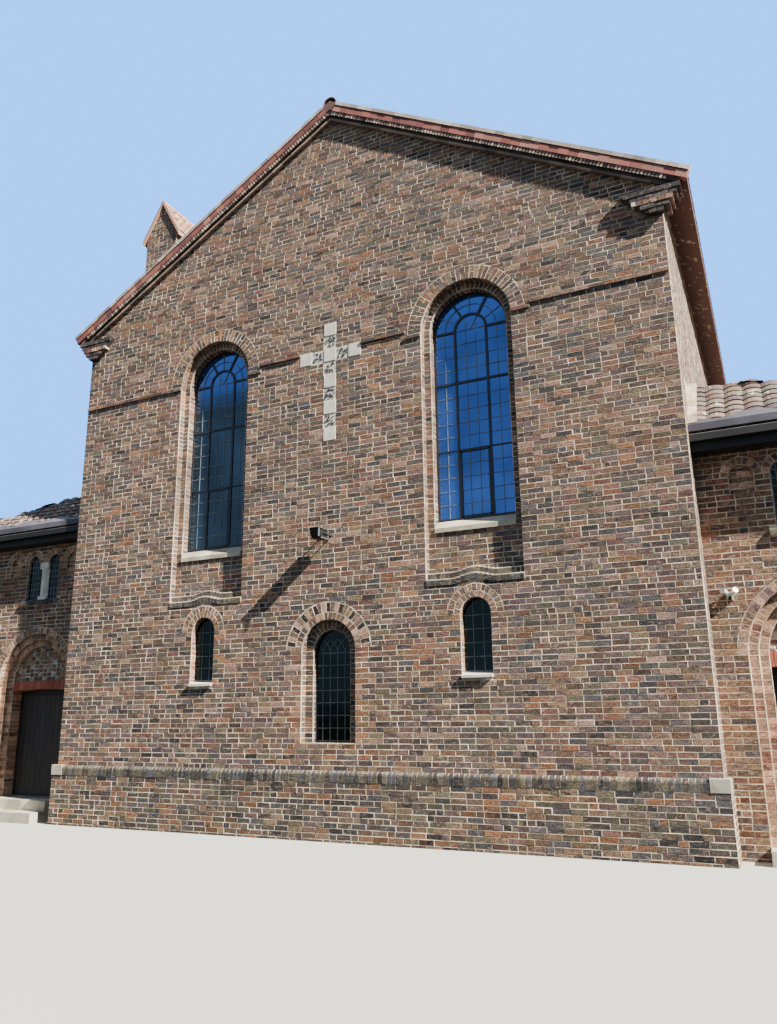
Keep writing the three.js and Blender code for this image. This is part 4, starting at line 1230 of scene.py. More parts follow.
class Glazing:
    """Panes, leads and steel bars of one or more windows, drawn like a wall face."""

    def __init__(self, seed, place=None):
        self.panes = bmesh.new()
        self.leads = bmesh.new()
        self.bars = bmesh.new()
        tone_layer(self.panes)
        self.rng = random.Random(seed)
        self.place = place or Matrix()

    def tilt(self, axis):
        return Matrix.Rotation(self.rng.uniform(-TILT, TILT), 4, axis)

    def add_pane(self, place, wide, high):
        matrix = place @ Matrix.Diagonal((wide, 1, high, 1)) @ UPRIGHT
        made = bmesh.ops.create_grid(self.panes, x_segments=1, y_segments=1, size=0.5, matrix=matrix)
        paint(self.panes, made["verts"], self.rng)

    def pane(self, x0, x1, z0, z1, y):
        tilt = self.tilt("X") @ self.tilt("Z")
        self.add_pane(Matrix.Translation(((x0 + x1) / 2, y, (z0 + z1) / 2)) @ tilt, x1 - x0, z1 - z0)

    def strip(self, bm, start, end, y, wide, front):
        """A straight strip between two points of the window's plane."""
        length = math.hypot(end[0] - start[0], end[1] - start[1])
        angle = math.atan2(end[1] - start[1], end[0] - start[0])
        turn = Matrix.Translation((start[0], y, start[1])) @ Matrix.Rotation(-angle, 4, "Y")
        add_block(bm, (0, -front, -wide / 2), (length, 0.002, wide / 2), place=turn)

    def lead(self, x0, z0, x1, z1, y, wide=LEAD_WIDE):
        self.strip(self.leads, (x0, z0), (x1, z1), y, wide, LEAD_FRONT)

    def bar(self, x0, z0, x1, z1, y, wide):
        self.strip(self.bars, (x0, z0), (x1, z1), y, wide, BAR_FRONT)

    def arc(self, x, z, radius, y, wide=LEAD_WIDE, kind=None):
        """A half circle of short straight strips."""
        kind = kind or self.lead
        angles = [math.pi * i / ARC_STEPS for i in range(ARC_STEPS + 1)]
        points = [(x + radius * math.cos(angle), z + radius * math.sin(angle)) for angle in angles]
        for start, end in zip(points, points[1:]):
            kind(*start, *end, y, wide)

    def lights(self, x0, x1, levels, columns, y, head=None):
        """Rows and columns of panes. head gives the window's half circle, to stay inside it."""
        width = (x1 - x0) / columns
        for low, high in zip(levels, levels[1:]):
            for i in range(columns):
                self.pane(x0 + i * width, x0 + (i + 1) * width, low, high, y)
        for i in range(1, columns):
            x = x0 + i * width
            top = head_level(x, head, levels[-1]) if head else levels[-1]
            self.lead(x, levels[0], x, top, y)
        for level in levels[1:-1]:
            reach0, reach1 = head_span(level, head, x0, x1) if head else (x0, x1)
            self.lead(reach0, level, reach1, level, y)

    def finish(self, name, glass):
        made = [
            ("panes", self.panes, glass, "window_glass"),
            ("leads", self.leads, lead_came, "steel_window"),
            ("bars", self.bars, dark_steel, "steel_window"),
        ]
        for label, bm, finish, slot in made:
            if len(bm.faces):
                bmesh.ops.transform(bm, matrix=self.place, verts=bm.verts)
                finish_piece(f"{name}_{label}", bm, [finish], slot)
            else:
                bm.free()


def head_level(x, head, top):
    """How high a vertical lead runs inside a round head."""
    middle, spring, radius = head
    if abs(x - middle) >= radius:
        return min(top, spring)
    return min(top, spring + math.sqrt(radius ** 2 - (x - middle) ** 2))


def head_span(level, head, x0, x1):
    """How wide a horizontal lead runs inside a round head."""
    middle, spring, radius = head
    if level <= spring:
        return x0, x1
    reach = math.sqrt(max(radius ** 2 - (level - spring) ** 2, 0.0001))
    return max(x0, middle - reach), min(x1, middle + reach)


def levels_between(z0, z1, wanted):
    count = max(1, round((z1 - z0) / wanted))
    return [z0 + (z1 - z0) * i / count for i in range(count + 1)]


# %% [markdown]
# ### Glazing of the tall windows
#
# Two mullions and two transoms divide a tall window, and over the springing the bars fan out. The
# lights between the bars are filled with rows of panes. The fan's panes are radial strips, each
# turned about the middle of the arch, which is easier than cutting square panes to a curve.

# %% Glazing of the tall windows
BAR = 0.036
MULLION_X = 0.25
HEAVY_TRANSOM = 6.545
LIGHT_TRANSOM = 5.48
FAN_ANGLES = (60, 120)
SILL_BACK = 4.42
ROW = 0.225
GLASS_Y = 0.2505
LEAD_Y = 0.248


def tall_glazing(glazing, x):
    inner = MULLION_X - BAR / 2
    outer = MULLION_X + BAR / 2
    edge = TALL_INNER - BAR
    stages = [(SILL_BACK + BAR, LIGHT_TRANSOM - BAR / 4), (LIGHT_TRANSOM + BAR / 4, HEAVY_TRANSOM - BAR / 2),
              (HEAVY_TRANSOM + BAR / 2, TALL_SPRING - BAR / 2)]
    for z0, z1 in stages:
        levels = levels_between(z0, z1, ROW)
        glazing.lights(x - edge, x - outer, levels, 2, GLASS_Y)
        glazing.lights(x - inner, x + inner, levels, 3, GLASS_Y)
        glazing.lights(x + outer, x + edge, levels, 2, GLASS_Y)
    head = (x, TALL_SPRING, inner)
    glazing.lights(x - inner, x + inner, [TALL_SPRING - BAR / 2, TALL_SPRING + 0.1], 3, GLASS_Y, head)
    glazing.lead(x - inner, TALL_SPRING, x + inner, TALL_SPRING, LEAD_Y)
    for degrees in range(10, 180, 20):
        fan_pane(glazing, x, degrees, 0.0, inner, 10)
    for degrees in range(11, 180, 22):
        fan_pane(glazing, x, degrees, outer, edge, 11)
    glazing.arc(x, TALL_SPRING, (outer + edge) / 2, LEAD_Y)
    for degrees in (30, 90, 150):
        ray(glazing, x, degrees, outer, edge)
    for degrees in (60, 120):
        ray(glazing, x, degrees, 0.0, inner)


def ray(glazing, x, degrees, near, far):
    a = math.radians(degrees)
    c, s = math.cos(a), math.sin(a)
    glazing.lead(x + near * c, TALL_SPRING + near * s, x + far * c, TALL_SPRING + far * s, LEAD_Y)


def fan_pane(glazing, x, degrees, near, far, half_angle):
    """One pane of the fan: a radial strip as wide as its outer edge."""
    wide = far * math.sin(math.radians(half_angle)) * 2
    turn = Matrix.Rotation(-math.radians(degrees), 4, "Y")
    middle = Matrix.Translation(((near + far) / 2, 0, 0))
    place = Matrix.Translation((x, GLASS_Y + 0.001, TALL_SPRING)) @ turn @ middle @ glazing.tilt("X")
    glazing.add_pane(place, far - near, wide)


def opening_casement(glazing, x):
    """The heavier frame of the light that opens, low in the middle."""
    inner = MULLION_X - BAR / 2
    z0, z1 = SILL_BACK + BAR, LIGHT_TRANSOM - BAR / 4
    for side in (-1, 1):
        glazing.bar(x + side * (inner - 0.012), z0, x + side * (inner - 0.012), z1, LEAD_Y, 0.026)
    for level in (z0 + 0.013, z1 - 0.013):
        glazing.bar(x - inner, level, x + inner, level, LEAD_Y, 0.026)


for label, side, glass in (("left", -1, painted_reflection_glass), ("right", 1, sky_glass)):
    windows = Glazing(71 + side)
    tall_glazing(windows, side * TALL_X)
    opening_casement(windows, side * TALL_X)
    windows.finish(f"tall_window_{label}", glass)


# %% [markdown]
# ### Glazing of the middle and small windows
#
# The middle window's upright leads lean over and cross above the springing, which gives its head a
# row of small pointed arches. The small windows have plain squares. Their panes lie in the steel
# window's own sheet, so only the leads are added.

# %% Glazing of the middle window
CENTRE_COLUMNS = 5
CENTRE_ROW = 0.18
FIRST_ROW_DROP = 0.035


def centre_glazing():
    """Upright leads that cross in pointed arches above the springing."""
    glazing = Glazing(73)
    y = CENTRE_GLASS_Y - 0.003
    width = 2 * SECOND_HALF / CENTRE_COLUMNS
    head = (0, CENTRE_SPRING, SECOND_HALF)
    for i in range(1, CENTRE_COLUMNS):
        x = -SECOND_HALF + i * width
        glazing.lead(x, CENTRE_FOOT, x, CENTRE_SPRING, y)
        for lean in (-1, 1):
            knee = x + lean * width * 0.30
            point = x + lean * width
            glazing.lead(x, CENTRE_SPRING, knee, CENTRE_SPRING + 0.08, y, 0.008)
            top = min(CENTRE_SPRING + 0.17, head_level(point, head, 9) - 0.01)
            if top > CENTRE_SPRING + 0.1:
                glazing.lead(knee, CENTRE_SPRING + 0.08, point, top, y, 0.008)
    level = CENTRE_SPRING - FIRST_ROW_DROP
    while level > CENTRE_FOOT:
        glazing.lead(-SECOND_HALF, level, SECOND_HALF, level, y)
        level -= CENTRE_ROW
    glazing.arc(0, CENTRE_SPRING, SECOND_HALF - 0.012, y, wide=0.022, kind=glazing.bar)
    for side in (-1, 1):
        at = side * (SECOND_HALF - 0.012)
        glazing.bar(at, CENTRE_FOOT, at, CENTRE_SPRING, y, 0.022)
    glazing.finish("centre_window", dark_glass)


centre_glazing()


# %% Glazing of the small windows
def small_glazing():
    glazing = Glazing(74)
    y = SMALL_GLASS_Y - 0.004
    for side in (-1, 1):
        x = side * TALL_X
        levels = levels_between(SMALL_FOOT + 0.02, SMALL_SPRING + SMALL_HALF - 0.05, 0.2)
        head = (x, SMALL_SPRING, SMALL_HALF)
        for i in range(1, 3):
            at = x - SMALL_HALF + i * 2 * SMALL_HALF / 3
            glazing.lead(at, levels[0], at, head_level(at, head, 9), y, 0.009)
        for level in levels[1:-1]:
            reach = head_span(level, head, x - SMALL_HALF, x + SMALL_HALF)
            glazing.lead(reach[0], level, reach[1], level, y, 0.009)
        glazing.lead(x - SMALL_HALF, SMALL_FOOT + 0.012, x + SMALL_HALF, SMALL_FOOT + 0.012, y, 0.018)
    glazing.finish("small_window", dark_glass)


small_glazing()

# %% [markdown]
# ## The wings
#
# Each wing's front has a doorway under three stepped arches, a panel of brick and flint above the
# door, a pair of small lights and two blind niches. The left wing is the right one mirrored, so
# both are laid by one function with the side as its only difference.

# %% Wing fronts
WING_OUT = 9.60
WING_TOP = 4.95
DOOR_X = 6.55
DOOR_SPRING = 2.36
ORDERS = (0.905, 0.79, 0.68)
ORDER_STEP = 0.07
DOOR_REVEAL = 0.35
PAIR_CENTRE = 0.265
PAIR_LIGHT = 0.15
PAIR_FOOT = 3.90
PAIR_SILL_FOOT = 3.80
PAIR_SPRING = 4.62
PAIR_RING = 0.10
PAIR_DEEP = 0.2
NICHE_CENTRE = 0.75
NICHE_FOOT = 4.38
NICHE_DEEP = 0.06
WING_FACET = math.cos(math.pi / 40)
WING_PLACE = Matrix.Translation((0, SETBACK, 0))


def wing_openings(x):
    openings = [Opening(x, ORDERS[0], -1, DOOR_SPRING, 0.115)]
    for side in (-1, 1):
        openings.append(Opening(x + side * PAIR_CENTRE, PAIR_LIGHT, PAIR_SILL_FOOT, PAIR_SPRING, PAIR_RING))
        openings.append(Opening(x + side * NICHE_CENTRE, PAIR_LIGHT, NICHE_FOOT, PAIR_SPRING, PAIR_RING))
    openings.append(Opening(x, PAIR_CENTRE + PAIR_LIGHT + 0.08, PAIR_SILL_FOOT, PAIR_FOOT, round_head=False))
    openings.append(Opening(x, PAIR_CENTRE, PAIR_FOOT, PAIR_SPRING, round_head=False))
    return openings


def door_arches(wall, x):
    wall.ring(x, DOOR_SPRING, ORDERS[1], ORDERS[0], y=ORDER_STEP, count=36)
    wall.ring(x, DOOR_SPRING, ORDERS[2], ORDERS[1], y=2 * ORDER_STEP, count=31)
    for i, radius in enumerate(ORDERS):
        y0, y1 = i * ORDER_STEP, (i + 1) * ORDER_STEP
        wall.soffit(x, DOOR_SPRING, radius * WING_FACET, y0, y1)
        deep = y1 if i < 2 else DOOR_REVEAL
        wall.jambs(x, radius, y0, deep, 0, DOOR_SPRING)
    for near, far, y in ((ORDERS[1], ORDERS[0], ORDER_STEP), (ORDERS[2], ORDERS[1], 2 * ORDER_STEP)):
        for side in (-1, 1):
            wall.step_face(span(side, near, far, x), 0, DOOR_SPRING, y)


def pair_rings(wall, x):
    """Rings and sides of the two lights and of the niche beyond each."""
    for offset, deep, foot in ((PAIR_CENTRE, PAIR_DEEP, PAIR_FOOT), (NICHE_CENTRE, NICHE_DEEP, NICHE_FOOT)):
        is_niche = offset == NICHE_CENTRE
        for hand in (-1, 1):
            at = x + hand * offset
            wall.ring(at, PAIR_SPRING, PAIR_LIGHT, PAIR_LIGHT + PAIR_RING, count=9)
            wall.soffit(at, PAIR_SPRING, PAIR_LIGHT * FACET, 0, deep)
            for side in (-1, 1):
                if is_niche or side == hand:
                    wall.reveal(at + side * PAIR_LIGHT, 0, deep, foot, PAIR_SPRING, side < 0)
            if is_niche:
                lay_face(wall, at - PAIR_LIGHT, at + PAIR_LIGHT, foot, PAIR_SPRING + 0.12, y=deep)


def wing_front(side, label):
    wall = Wall(81 + side, WING_PLACE)
    x = side * DOOR_X
    lay_face(wall, *span(side, NAVE_HALF, WING_OUT), 0, WING_TOP, wing_openings(x))
    wall.finish(f"{label}_wing_front_bricks", [wing_brick, buff_mortar])
    rings = Wall(94 + side, WING_PLACE)
    rings.ring(x, DOOR_SPRING, ORDERS[0], ORDERS[0] + 0.115, count=40)
    pair_rings(rings, x)
    rings.finish(f"{label}_wing_window_rings", [ring_brick, buff_mortar])
    orders = Wall(97 + side, WING_PLACE)
    door_arches(orders, x)
    orders.finish(f"{label}_door_order_bricks", [order_brick, buff_mortar])


# %% [markdown]
# ### Over the door
#
# Under the smallest arch lies a panel of bricks with a square of flints in every third place, on a
# lintel of tiles set on edge whose underside is a little arched. Panel and lintel are laid square
# by square, so that the joints are real ones.

# %% Panel over the door, tile lintel
PANEL_CELL_WIDE = 0.113
PANEL_CELL_HIGH = 0.0752


def door_panel(side, label):
    """Brick and flint squares inside the smallest arch."""
    bricks = Wall(84 + side, WING_PLACE)
    flints = bmesh.new()
    tone_layer(flints)
    rng = random.Random(86 + side)
    y = 3 * ORDER_STEP
    x = side * DOOR_X
    for row in range(9):
        z = LINTEL_TOP + row * PANEL_CELL_HIGH
        for column in range(-6, 6):
            low = x + column * PANEL_CELL_WIDE
            corner = max(abs(low - x), abs(low + PANEL_CELL_WIDE - x))
            if math.hypot(corner, z + PANEL_CELL_HIGH - DOOR_SPRING) > ORDERS[2] + 0.03:
                continue
            if (row + column) % 3:
                bricks.brick(low, low + PANEL_CELL_WIDE, z, z + PANEL_CELL_HIGH, y)
                continue
            for _ in range(6):
                at_x = low + rng.uniform(0.02, PANEL_CELL_WIDE - 0.02)
                at_z = z + rng.uniform(0.015, PANEL_CELL_HIGH - 0.015)
                add_flint(flints, rng, at_x, SETBACK + y, at_z, rng.uniform(0.012, 0.02))
    bricks.finish(f"{label}_door_panel_bricks", [wing_brick, buff_mortar])
    finish_piece(f"{label}_door_panel_flints", flints, [pale_flint], "flint")


LINTEL_FOOT = 2.21
LINTEL_TOP = 2.40
LINTEL_CAMBER = 0.03
LINTEL_Y = 0.15


def door_lintel(side, label):
    lintel = Wall(88 + side, WING_PLACE)
    x = side * DOOR_X
    count = 30
    pitch = 2 * ORDERS[2] / count
    for i in range(count):
        along = -1 + 2 * (i + 0.5) / count
        foot = LINTEL_FOOT + LINTEL_CAMBER * (1 - along ** 2)
        low = x - ORDERS[2] + i * pitch
        lintel.brick(low, low + pitch, foot, LINTEL_TOP, LINTEL_Y)
    lintel.finish(f"{label}_door_lintel_tiles", [red_tile, red_mortar], slot="red_tile")


# %% [markdown]
# ### Door boards
#
# The leaf of the carcass is a plain slab that swings on its hinge. Boards are laid on both of its
# faces, three ledges across its back, and a rail along its foot. They ride on the door's own body,
# so they swing with it.

# %% Door boards
LEAF_HALF = 0.608
LEAF_FOOT = 0.352
LEAF_TOP = 2.138
LEAF_FRONT = 0.80
LEAF_BACK = 0.85
BOARDS = 10
LEDGE_FEET = (0.50, 1.22, 1.92)


def door_boards_piece(side, label):
    """Boards with open joints on both faces of the leaf, ledges behind, and a rail at its foot."""
    bm = bmesh.new()
    rng = random.Random(90 + side)
    x = side * DOOR_X
    front = LEAF_FRONT - 0.005
    pitch = 2 * LEAF_HALF / BOARDS
    for i in range(BOARDS):
        low = x - LEAF_HALF + i * pitch
        for y0, y1 in ((front, LEAF_FRONT + 0.002), (LEAF_BACK - 0.002, LEAF_BACK + 0.004)):
            add_block(bm, (low + 0.002, y0, LEAF_FOOT), (low + pitch - 0.002, y1, LEAF_TOP), rng)
    for z in LEDGE_FEET:
        add_block(bm, (x - 0.5, LEAF_BACK, z), (x + 0.5, LEAF_BACK + 0.028, z + 0.13), rng)
    reach = LEAF_HALF - 0.004
    add_block(bm, (x - reach, front - 0.004, LEAF_FOOT), (x + reach, front + 0.001, LEAF_FOOT + 0.11), rng)
    soften(bm, 0.0018)
    finish_piece(f"{label}_door_boards", bm, [door_boards], "dark_timber", body=f"{label}_door")


# %% [markdown]
# ### The paired lights
#
# Two narrow lights share a stone column and a sill of rounded bricks. The column could be turned
# on a spin, but the real shaft has eight sides, so a cone of eight segments gives it at once.

# %% Glass and leads of the paired lights
PAIR_GLASS_Y = 0.055


def pair_glazing(side, label):
    glazing = Glazing(92 + side, WING_PLACE)
    y = PAIR_GLASS_Y
    for offset in (-PAIR_CENTRE, PAIR_CENTRE):
        x = side * DOOR_X + offset
        head = (x, PAIR_SPRING, PAIR_LIGHT)
        levels = levels_between(PAIR_FOOT, PAIR_SPRING + PAIR_LIGHT, 0.105)
        glazing.lights(x - PAIR_LIGHT, x + PAIR_LIGHT, levels, 4, y, head)
        glazing.lead(x - PAIR_LIGHT + 0.008, PAIR_FOOT, x - PAIR_LIGHT + 0.008, PAIR_SPRING, y - 0.008, 0.022)
        glazing.lead(x - PAIR_LIGHT, PAIR_FOOT + 0.01, x + PAIR_LIGHT, PAIR_FOOT + 0.01, y - 0.008, 0.022)
        glazing.arc(x, PAIR_SPRING, PAIR_LIGHT - 0.008, y - 0.008, wide=0.018)
    glazing.finish(f"{label}_wing_window", dark_glass)


# %% Column and sill of the paired lights
COLUMN_Y = 0.10
SHAFT_RADIUS = 0.106
CAPITAL_FOOT = 4.50
BASE_TOP = 3.975
SILL_TILES = 8


def window_column(side, label):
    """A short stone column: square foot, eight-sided shaft with a necking, square capital."""
    bm = bmesh.new()
    x = side * DOOR_X
    base = (0.108, PAIR_FOOT + 0.002, BASE_TOP)
    capital = (0.110, CAPITAL_FOOT, PAIR_SPRING - 0.002)
    for half, low, high in (base, capital):
        add_block(bm, (x - half, COLUMN_Y - 0.094, low), (x + half, COLUMN_Y + 0.094, high))
    shaft = (SHAFT_RADIUS, BASE_TOP - 0.01, CAPITAL_FOOT + 0.01)
    necking = (SHAFT_RADIUS + 0.008, CAPITAL_FOOT - 0.035, CAPITAL_FOOT - 0.005)
    for radius, low, high in (shaft, necking):
        matrix = Matrix.Translation((x, COLUMN_Y, (low + high) / 2)) @ Matrix.Rotation(math.pi / 8, 4, "Z")
        bmesh.ops.create_cone(
            bm, cap_ends=True, segments=8, radius1=radius, radius2=radius, depth=high - low, matrix=matrix,
        )
    soften(bm, 0.006, 2)
    bmesh.ops.transform(bm, matrix=WING_PLACE, verts=bm.verts)
    piece = finish_piece(f"{label}_window_column", bm, [white_stone], "pale_stone")
    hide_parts(f"{label}_wing_window_column")


def window_sill(side, label):
    """Dark sill bricks with rounded front edges under the paired lights."""
    bm = bmesh.new()
    rng = random.Random(96 + side)
    half = PAIR_CENTRE + PAIR_LIGHT + 0.084
    pitch = 2 * half / SILL_TILES
    for i in range(SILL_TILES):
        low = side * DOOR_X - half + i * pitch
        end = low + pitch - 0.007
        verts = add_block(bm, (low, -0.047, PAIR_SILL_FOOT + 0.002), (end, 0.08, PAIR_FOOT + 0.005), rng)
        rounded_edge(bm, verts, 0.05)
    bmesh.ops.transform(bm, matrix=WING_PLACE, verts=bm.verts)
    finish_piece(f"{label}_window_sill_bricks", bm, [ledge_brick], "brickwork")


for label, side in SIDES:
    wing_front(side, label)
    door_panel(side, label)
    door_lintel(side, label)
    door_boards_piece(side, label)
    pair_glazing(side, label)
    window_column(side, label)
    window_sill(side, label)

# %% [markdown]
# ## Sides and rear
#
# The photo shows only the front. The sides of the wings repeat the paired lights of the front,
# the nave's rear gable repeats its two tall windows, and the bricks go on round every corner.

# %% Side walls and rear walls
WING_REAR = 15.55
SIDE_WALL = 0.34
SIDE_BAYS = 5
SIDE_FOOT = 3.0
SIDE_SPRING = 3.9
SIDE_GLASS_Y = 0.09
LEAN_TO_TOP = 6.115
SILL_FALL = 0.12


def side_window_places():
    bay = (WING_REAR - SETBACK - 0.9) / SIDE_BAYS
    for i in range(SIDE_BAYS):
        middle = SETBACK + 0.45 + bay * (i + 0.5)
        yield middle - PAIR_CENTRE
        yield middle + PAIR_CENTRE


def wing_side(side, label):
    """Seen from outside, the run along the wall is Y on the right and -Y on the left."""
    place = turned_about_z(side * 90, side * WING_OUT)
    wall = Wall(101 + side, place)
    openings = []
    for y in side_window_places():
        openings.append(Opening(side * y, PAIR_LIGHT, SIDE_FOOT, SIDE_SPRING, PAIR_RING))
    lay_face(wall, *span(side, SETBACK, WING_REAR), 0, WING_TOP, openings)
    for opening in openings:
        wall.ring(opening.x, SIDE_SPRING, PAIR_LIGHT, PAIR_LIGHT + PAIR_RING, count=9)
        wall.soffit(opening.x, SIDE_SPRING, PAIR_LIGHT * FACET, 0, SIDE_WALL)
        wall.jambs(opening.x, PAIR_LIGHT, 0, SIDE_WALL, SIDE_FOOT, SIDE_SPRING)
    wall.finish(f"{label}_wing_side_bricks", [wing_brick, buff_mortar])
    glazing = Glazing(104 + side, place)
    for opening in openings:
        head = (opening.x, SIDE_SPRING, PAIR_LIGHT)
        levels = levels_between(SIDE_FOOT, SIDE_SPRING + PAIR_LIGHT, 0.105)
        glazing.lights(opening.x - PAIR_LIGHT, opening.x + PAIR_LIGHT, levels, 4, SIDE_GLASS_Y, head)
    glazing.finish(f"{label}_wing_side_window", painted_reflection_glass)


def wing_rear(side, label):
    wall = Wall(107 + side, turned_about_z(180, 0, WING_REAR))
    lay_face(wall, *span(-side, NAVE_HALF, WING_OUT), 0, WING_TOP)
    wall.finish(f"{label}_wing_rear_bricks", [wing_brick, buff_mortar])


def nave_side(side, label):
    """The part above the wing's roof, and the narrow returns at both ends."""
    wall = Wall(110 + side, turned_about_z(side * 90, side * NAVE_HALF))
    lay_face(wall, *span(side, 0, SETBACK), LEDGE_TOP, LEAN_TO_TOP)
    lay_face(wall, *span(side, WING_REAR, NAVE_LENGTH), 0, LEAN_TO_TOP)
    lay_face(wall, *span(side, 0, NAVE_LENGTH), LEAN_TO_TOP, roof_under(NAVE_HALF))
    wall.finish(f"{label}_nave_side_bricks", [stock_brick, buff_mortar])


REAR_PLACE = turned_about_z(180, 0, NAVE_LENGTH)
for label, side in SIDES:
    wing_side(side, label)
    wing_rear(side, label)
    nave_side(side, label)
gable_bricks("rear_wall_bricks", 115, tall_openings(), 0.0, REAR_PLACE)
tall_window_dressing("rear_window_bricks", 116, REAR_PLACE)
rounded_rows("rear_window_foot_rows", 117, REAR_PLACE)


# %% [markdown]
# ### Rear windows
#
# The carcass has one plain sheet of glass behind each rear opening, so here the steel frame is
# drawn as well, with the same sizes as the front windows' frames.

# %% Glazing of the rear windows
def steel_frame(glazing, x):
    """Frame, mullions, transoms and fan bars in front of the panes."""
    y = LEAD_Y - 0.002
    edge = TALL_INNER - BAR / 2
    for at in (-edge, -MULLION_X, MULLION_X, edge):
        glazing.bar(x + at, SILL_BACK, x + at, TALL_SPRING, y, BAR)
    glazing.bar(x - edge, LIGHT_TRANSOM, x + edge, LIGHT_TRANSOM, y, BAR / 2)
    for level in (SILL_BACK + BAR / 2, HEAVY_TRANSOM, TALL_SPRING):
        glazing.bar(x - edge, level, x + edge, level, y, BAR)
    for radius in (MULLION_X, edge):
        glazing.arc(x, TALL_SPRING, radius, y, wide=BAR, kind=glazing.bar)
    for degrees in FAN_ANGLES:
        c, s = math.cos(math.radians(degrees)), math.sin(math.radians(degrees))
        start = (x + MULLION_X * c, TALL_SPRING + MULLION_X * s)
        glazing.bar(*start, x + edge * c, TALL_SPRING + edge * s, y, BAR)


def rear_windows():
    glazing = Glazing(76, REAR_PLACE)
    sills = bmesh.new()
    for side in (-1, 1):
        tall_glazing(glazing, side * TALL_X)
        steel_frame(glazing, side * TALL_X)
        low = (side * TALL_X - TALL_INNER, ORDER_DEEP - 0.0245, TALL_SILL - 0.004)
        verts = add_block(sills, low, (side * TALL_X + TALL_INNER, 0.30, SILL_BACK))
        for vert in verts:
            if vert.co.y < ORDER_DEEP and vert.co.z > TALL_SILL:
                vert.co.z -= SILL_FALL
    glazing.finish("rear_window", painted_reflection_glass)
    bmesh.ops.transform(sills, matrix=REAR_PLACE, verts=sills.verts)
    finish_piece("rear_window_sills", sills, [pale_stone], "pale_stone")


rear_windows()

# %% [markdown]
# ## Tiles
#
# A plain tile is about 165 mm wide and shows 100 mm of its length. Each is a grid of a few cells
# whose middle is raised a little, because hand-made tiles are arched, and whose lower edge is
# drawn down to give it a thickness. The joints of one row fall in the middle of the next. The
# wings have wider, strongly arched tiles instead, which stand one above the other in columns.

# %% Tile laying
TILE_THICK = 0.014
PLAIN_TILE = {"wide": 0.165, "gauge": 0.10, "camber": 0.006, "cells": 2}
ARCHED_TILE = {"wide": 0.23, "gauge": 0.145, "camber": 0.030, "cells": 4}


class TiledSlope(Pile):
    """Tiles in a slope's own frame: x along the eaves, y up the slope, z out of it."""

    def __init__(self, seed, frame_matrix, arched=False):
        super().__init__()
        self.rng = random.Random(seed)
        self.matrix = frame_matrix
        self.arched = arched
        self.wide, self.gauge, self.camber, self.cells = (ARCHED_TILE if arched else PLAIN_TILE).values()

    def start_batch(self):
        super().start_batch()
        self.lower_edges = []

    def tile(self, x, y):
        wide = self.wide - 0.003
        tilt = math.atan2(TILE_THICK, self.gauge) + self.rng.uniform(-0.03, 0.03)
        turn = Matrix.Rotation(-tilt, 4, "X") @ Matrix.Rotation(self.rng.uniform(-0.02, 0.02), 4, "Y")
        size = Matrix.Diagonal((wide, self.gauge + 0.012, 1, 1))
        matrix = Matrix.Translation((x, y, TILE_THICK * 0.75)) @ turn @ size
        made = bmesh.ops.create_grid(
            self.batch, x_segments=self.cells, y_segments=1, size=0.5, matrix=matrix,
        )["verts"]
        paint(self.batch, made, self.rng)
        for vert in made:
            vert.co.z += self.camber * max(0.0, 1 - (2 * (vert.co.x - x) / wide) ** 2)
        low = min(vert.co.y for vert in made) + self.gauge / 3
        lower = {vert for vert in made if vert.co.y < low}
        self.lower_edges += {e for v in lower for e in v.link_edges if all(o in lower for o in e.verts)}
        self.added()

    def pour(self):
        """Gives the batch its thick lower edges before it joins the rest."""
        if self.lower_edges:
            made = bmesh.ops.extrude_edge_only(self.batch, edges=self.lower_edges)["geom"]
            verts = [item for item in made if isinstance(item, bmesh.types.BMVert)]
            bmesh.ops.translate(self.batch, verts=verts, vec=(0, 0.002, -TILE_THICK))
            bmesh.ops.recalc_face_normals(self.batch, faces=self.batch.faces)
            bmesh.ops.reverse_faces(self.batch, faces=[f for f in self.batch.faces if f.normal.z < -0.3])
        super().pour()

    def rows(self, length, limits, skip=None):
        """Rows up a slope of that length. limits gives the ends of the row at a height."""
        for row in range(int(length / self.gauge)):
            y = (row + 0.5) * self.gauge
            for x in self.places(row, *limits(y)):
                if not skip or not skip(x, y):
                    self.tile(x, y)

    def places(self, row, x0, x1):
        """The middles of a row's tiles: in columns when arched, else with broken joints."""
        if self.arched:
            first, last = round(x0 / self.wide), round(x1 / self.wide)
            return [(i + 0.5) * self.wide for i in range(first, last)]
        number = int((x1 - x0) / self.wide)
        shift = (x1 - x0 - number * self.wide) / 2 + (self.wide / 2 if row % 2 else 0)
        return [x0 + shift + (i + 0.5) * self.wide for i in range(number - row % 2)]

    def finish(self, name, finish=None):
        self.pour()
        bmesh.ops.transform(self.bm, matrix=self.matrix, verts=self.bm.verts)
        finish_piece(name, self.bm, [finish or roof_tile], "roof_tile")


def slope_matrix(origin, along, up):
    """A frame with its first axis along the eaves and its second up the slope."""
    along = Vector(along).normalized()
    up = Vector(up).normalized()
    out = along.cross(up)
    turn = Matrix((along, up, out)).transposed().to_4x4()
    return Matrix.Translation(origin) @ turn


# %% [markdown]
# ### The nave's roof
#
# Plain tiles cover both slopes in rows with broken joints. An array of one tile would be quicker,
# but no two real tiles lie quite alike, so each is turned a little. Where the stack comes through
# the left slope the rows leave it out.

# %% Nave roof tiles
VERGE_REACH = 0.09
STACK_BOX = (-5.25, -4.45, 1.22, 2.37)


